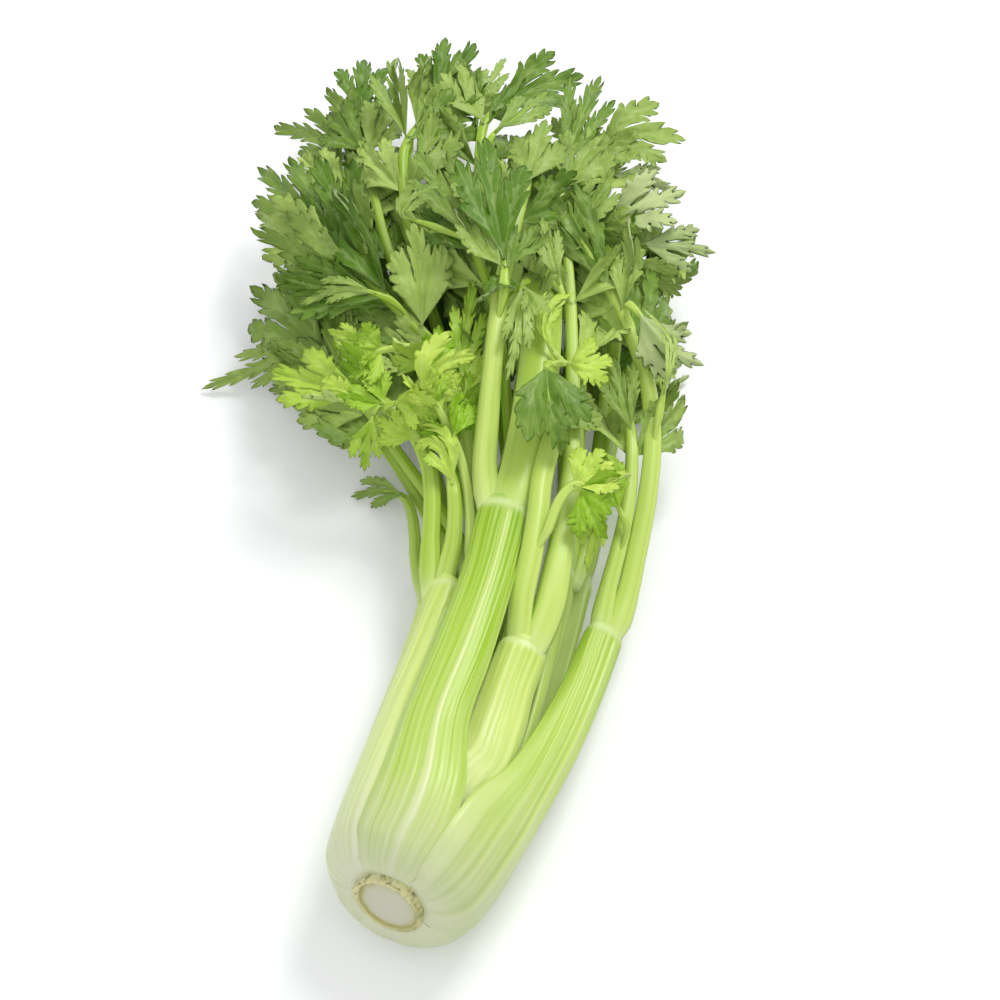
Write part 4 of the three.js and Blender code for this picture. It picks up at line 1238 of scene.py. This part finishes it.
def grow_pair(name, leaf, kind, start, ranges, scale, rng, material):
    """A leaflet on each side of a leaf's line. Without a kind, each is a hand or, now and then, a fan."""
    sizes, turns_out, lifts, curls, width = ranges
    for hand in (1, -1):
        size = scale * rng.uniform(*sizes)
        own_kind = kind or ("fan" if rng.random() < FAN_CHANCE else "hand")
        turn = hand * rng.uniform(*turns_out)
        lift = rng.uniform(*lifts)
        curl = rng.uniform(*curls)
        grow_leaflet(name, leaf, own_kind, start, turn, lift, curl, size, size * width, rng, material)


def grow_tip_leaflet(name, leaf, kind, start, half, rng, material):
    """The leaflet at the end of a leaf, along the leaf's own line."""
    mesh = toned_leaflet(kind, leaf, 0.2, rng)
    spots = [at_share(leaf, share) for share in np.linspace(start, 1.0, TIP_STEPS + 1)]
    turn = math.pi if name in TURNED else 0.0
    rolls = turn + rng.uniform(-0.5, 0.5) * np.linspace(0.3, 1, TIP_STEPS + 1)
    sides, ups = zip(*[rolled(s["side"], s["up"], roll) for s, roll in zip(spots, rolls)])
    settings = blade_settings(rng, (0.15, 0.6), (0.05, 0.5), 0.26, half, material)
    grow_part(name, mesh, [s["line"] for s in spots], sides, ups, [half] * len(spots), settings)


print(len(TURNED), "leaves lie with their under side up")

# %% Where a leafstalk begins
JOINT_REACH = 0.025  # a leafstalk that starts this near to the end of a stalk grows from it
JOINT_DEPTH = 0.011  # how far down inside a stalk its leafstalks begin
ROOT_LENGTH = 0.02  # over this length a leafstalk bends out from the stalk to its own line
BRANCH_BACK = 0.02  # how far before its start a small leafstalk leaves the one that it grows from
ROOT_SHARES = np.linspace(0, 0.88, 8)
joint_places = np.array([rings[-1].mean(0) for rings in stalk_rings.values()])
joint_ways = np.array([unit(rings[-1].mean(0) - rings[-3].mean(0)) for rings in stalk_rings.values()])


def root_points(name, start, way):
    """Points that lead to the start of a leafstalk from inside the one that it grows from."""
    own_start = leaves[name]["line"][0]
    apart = np.linalg.norm(joint_places - own_start, axis=1)
    nearest = int(apart.argmin())
    joined = apart[nearest] < JOINT_REACH
    if joined:
        joint, ahead = joint_places[nearest], joint_ways[nearest]
        beside = (own_start - joint) - ahead * ((own_start - joint) @ ahead)
        inside = joint - ahead * JOINT_DEPTH + beside * 0.6
    else:
        others = [leaf for other, leaf in leaves.items() if other != name]
        all_gaps = [np.linalg.norm(leaf["line"] - start, axis=1) for leaf in others]
        gaps, parent = min(zip(all_gaps, others), key=lambda pair: pair[0].min())
        back = max(int(gaps.argmin()) - round(BRANCH_BACK / parent["length"] * len(gaps)), 0)
        inside, ahead = parent["line"][back], parent["ahead"][back]
    run = np.linalg.norm(start - inside)
    curve = []
    for t in ROOT_SHARES:
        curve.append((2 * t**3 - 3 * t**2 + 1) * inside + (t**3 - 2 * t**2 + t) * ahead * run
                     + (3 * t**2 - 2 * t**3) * start + (t**3 - t**2) * way * run)
    return curve, joined


print("joints of leafstalks at the ends of", len(joint_places), "stalks")

# %% Grow a leafstalk
LONG_BARE_STEM = 0.05  # a leafstalk that is bare for longer than this bends out before its own line
BROAD_FROM = 0.0075  # a leafstalk of at least this half width stays broad up to its blade
MIDRIB_REACH = 0.5  # the share of the blade that the leafstalk goes on under, as its midrib
# How much wider than in the plan a leafstalk is at its root, below its middle and at its blade.
SLIM_STEM = (1.0, 0.85, 0.66)
BROAD_STEM = (1.0, 0.94, 0.88)
STEM_SCALE = {
    "front_leaf_1": (1.15, 0.85, 0.55),
    "front_leaf_3": (1.35, 1.3, 1.2),
    "inner_front_leaf_1": (1.35, 1.2, 1.1),
    "inner_front_leaf_2": (1.5, 0.75, 0.34),
    "inner_front_leaf_3": (0.6, 0.62, 0.66),
    "inner_right_leaf_1": (1.3, 1.1, 1.0),
}
# How green leafstalks are, by the start of their names.
STEM_GREEN = {"front_leaf_1": 0.4, "front_leaf_3": 0.45, "inner_front": 0.35, "right": 0.45, "left": 0.6}


def grow_stem(name, leaf, number, young):
    """The leafstalk of a leaf, which thins out under the blade as its midrib."""
    end = leaf["root"] + (1 - leaf["root"]) * MIDRIB_REACH
    shares = np.linspace(0, end, 28)
    spots = [at_share(leaf, share) for share in shares]
    long = leaf["length"] * leaf["root"] > LONG_BARE_STEM
    scale = STEM_SCALE.get(name, SLIM_STEM if leaf["stem"] < BROAD_FROM else BROAD_STEM)
    slim = np.interp(shares, [0, 0.4 * leaf["root"], leaf["root"], end], [*scale, 0.1]) * leaf["stem"]
    sink = np.interp(shares, [leaf["root"] * 0.9, leaf["root"], end], [0.0, 0.8, 1.0]) * slim
    points = np.array([s["line"] - s["up"] * d for s, d in zip(spots, sink)])
    if long:
        skip = int(np.searchsorted(shares * leaf["length"], ROOT_LENGTH))
        points, slim, spots = points[skip:], slim[skip:], spots[skip:]
    roots, joined = root_points(name, points[0], unit(points[1] - points[0]))
    if not joined:
        swell = [0.12, 0.5, 1.0]
    elif long:
        swell = [0.65, max(1.3 / scale[0], 1.0), 1.0]
    else:
        swell = [0.4, 0.8, 0.95]
    reach = np.concatenate([slim[0] * np.interp(ROOT_SHARES, [0, 0.4, 0.88], swell), slim])
    spots = [spots[0]] * len(roots) + spots
    total = leaf["length"] * end + ROOT_LENGTH
    plain_green = 0.25 if young else 0.8
    green = next((share for start, share in STEM_GREEN.items() if name.startswith(start)), plain_green)
    stem = stem_mesh(name + "_stem", 1.7 * number, 0.012 / total, green, float(joined))
    settings = {"Fold": 0.0, "Edge Droop": 0.0, "Thickness": 0.0, "Ripple": 0.0, "Material": stalk_skin}
    grow_part(name, stem, np.vstack([roots, points]), [s["side"] for s in spots], [s["up"] for s in spots],
              reach, settings)


print(len(STEM_SCALE), "leafstalks have widths of their own")

# %% Grow every leaf
# Leaves whose leaflets are smaller than in the plan.
LEAF_SCALE = {"right_leaf_5": 0.6, "front_leaf_2": 0.82}
SHORT_BLADE = 0.056  # a blade up to this long is one leaflet
LONG_BLADE = 0.095  # and one from this on has several pairs beside its tip
# The pairs on a long blade: where each is, and its size, as shares of the blade.
BLADE_PAIRS = ((0.02, 0.5), (0.14, 0.44), (0.27, 0.46), (0.45, 0.42))
slots = {part["node"]: part["material_slot"] for part in frame["record"]["subparts"]}

for number, name in enumerate(leaf_names):
    rng = np.random.default_rng(100 + number)
    leaf = leaves[name]
    young = slots[name] == "young_leaf"
    material = young_skin if young else leaf_skin
    root = leaf["root"]
    blade = leaf["length"] * (1 - root)
    bare = leaf["length"] * root
    smaller = LEAF_SCALE.get(name, 1.0)
    widest = leaf["half"][int(root * LINE_STEPS) + 2 :].max() * smaller
    # Painted light and shade: leaves are toned paler towards the sides of the head, most of all on the
    # right, where the lamp is, and darker in its middle, where they shade one another.
    to_right = (at_share(leaf, (1 + root) / 2)["line"][0] - middle.x) / (plan_high.x - plan_low.x)
    leaf["tone"] = 0.37 + 0.32 * to_right + 1.6 * to_right**2
    grow_stem(name, leaf, number, young)
    kind = "fan" if blade / widest < 3.2 else "hand" if blade / widest < 6 else "feather"
    if blade < SHORT_BLADE:
        grow_tip_leaflet(name, leaf, kind, root, widest * 1.15, rng, material)
    elif blade < LONG_BLADE:
        grow_tip_leaflet(name, leaf, kind, root + (1 - root) * 0.06, widest * 1.15, rng, material)
        pair_kind = "fan" if young else "hand"
        grow_pair(name, leaf, pair_kind, root * 0.97, PAIR_BY_TIP, blade * smaller, rng, material)
    else:
        grow_tip_leaflet(name, leaf, "hand", root + (1 - root) * 0.34, widest * 1.15, rng, material)
        for at, scale in BLADE_PAIRS if "under" in name else BLADE_PAIRS[:3]:
            size = blade * scale * smaller
            grow_pair(name, leaf, "hand", root + (1 - root) * at, PAIR_ON_BLADE, size, rng, material)
    if bare > 0.09 and blade > 0.045 and not young:
        one_pair = name.startswith(("front", "right", "under_right_leaf_1"))
        for at in (0.86,) if one_pair else (0.6, 0.72, 0.86):
            grow_pair(name, leaf, None, root * at, PAIR_ON_STEM, 1.0, rng, material)
    if young and (bare > 0.07 or name == "inner_front_leaf_3"):
        for at in (0.7, 0.92):
            grow_pair(name, leaf, "fan", root * at, YOUNG_PAIR, 1.0, rng, material)
print(sum(len(group) for group in grown_parts.values()), "leafstalks and leaflets")

# %% Bake the leaves, and join each into one piece
baked([part for group in grown_parts.values() for part in group])
for helper in rib_helpers:
    bpy.data.objects.remove(helper)
leaf_pieces = []
for name, group in grown_parts.items():
    with bpy.context.temp_override(active_object=group[0], selected_editable_objects=group):
        bpy.ops.object.join()
    group[0].name = name + "_grown"
    leaf_pieces.append((name, group[0]))
print(len(leaf_pieces), "leaves,", sum(len(p.data.polygons) for _, p in leaf_pieces), "faces")

# %% Keep the pieces in their places
for name, piece in [("crown", crown_piece), *stalk_pieces, *leaf_pieces]:
    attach(piece, "root")
    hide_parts(name)
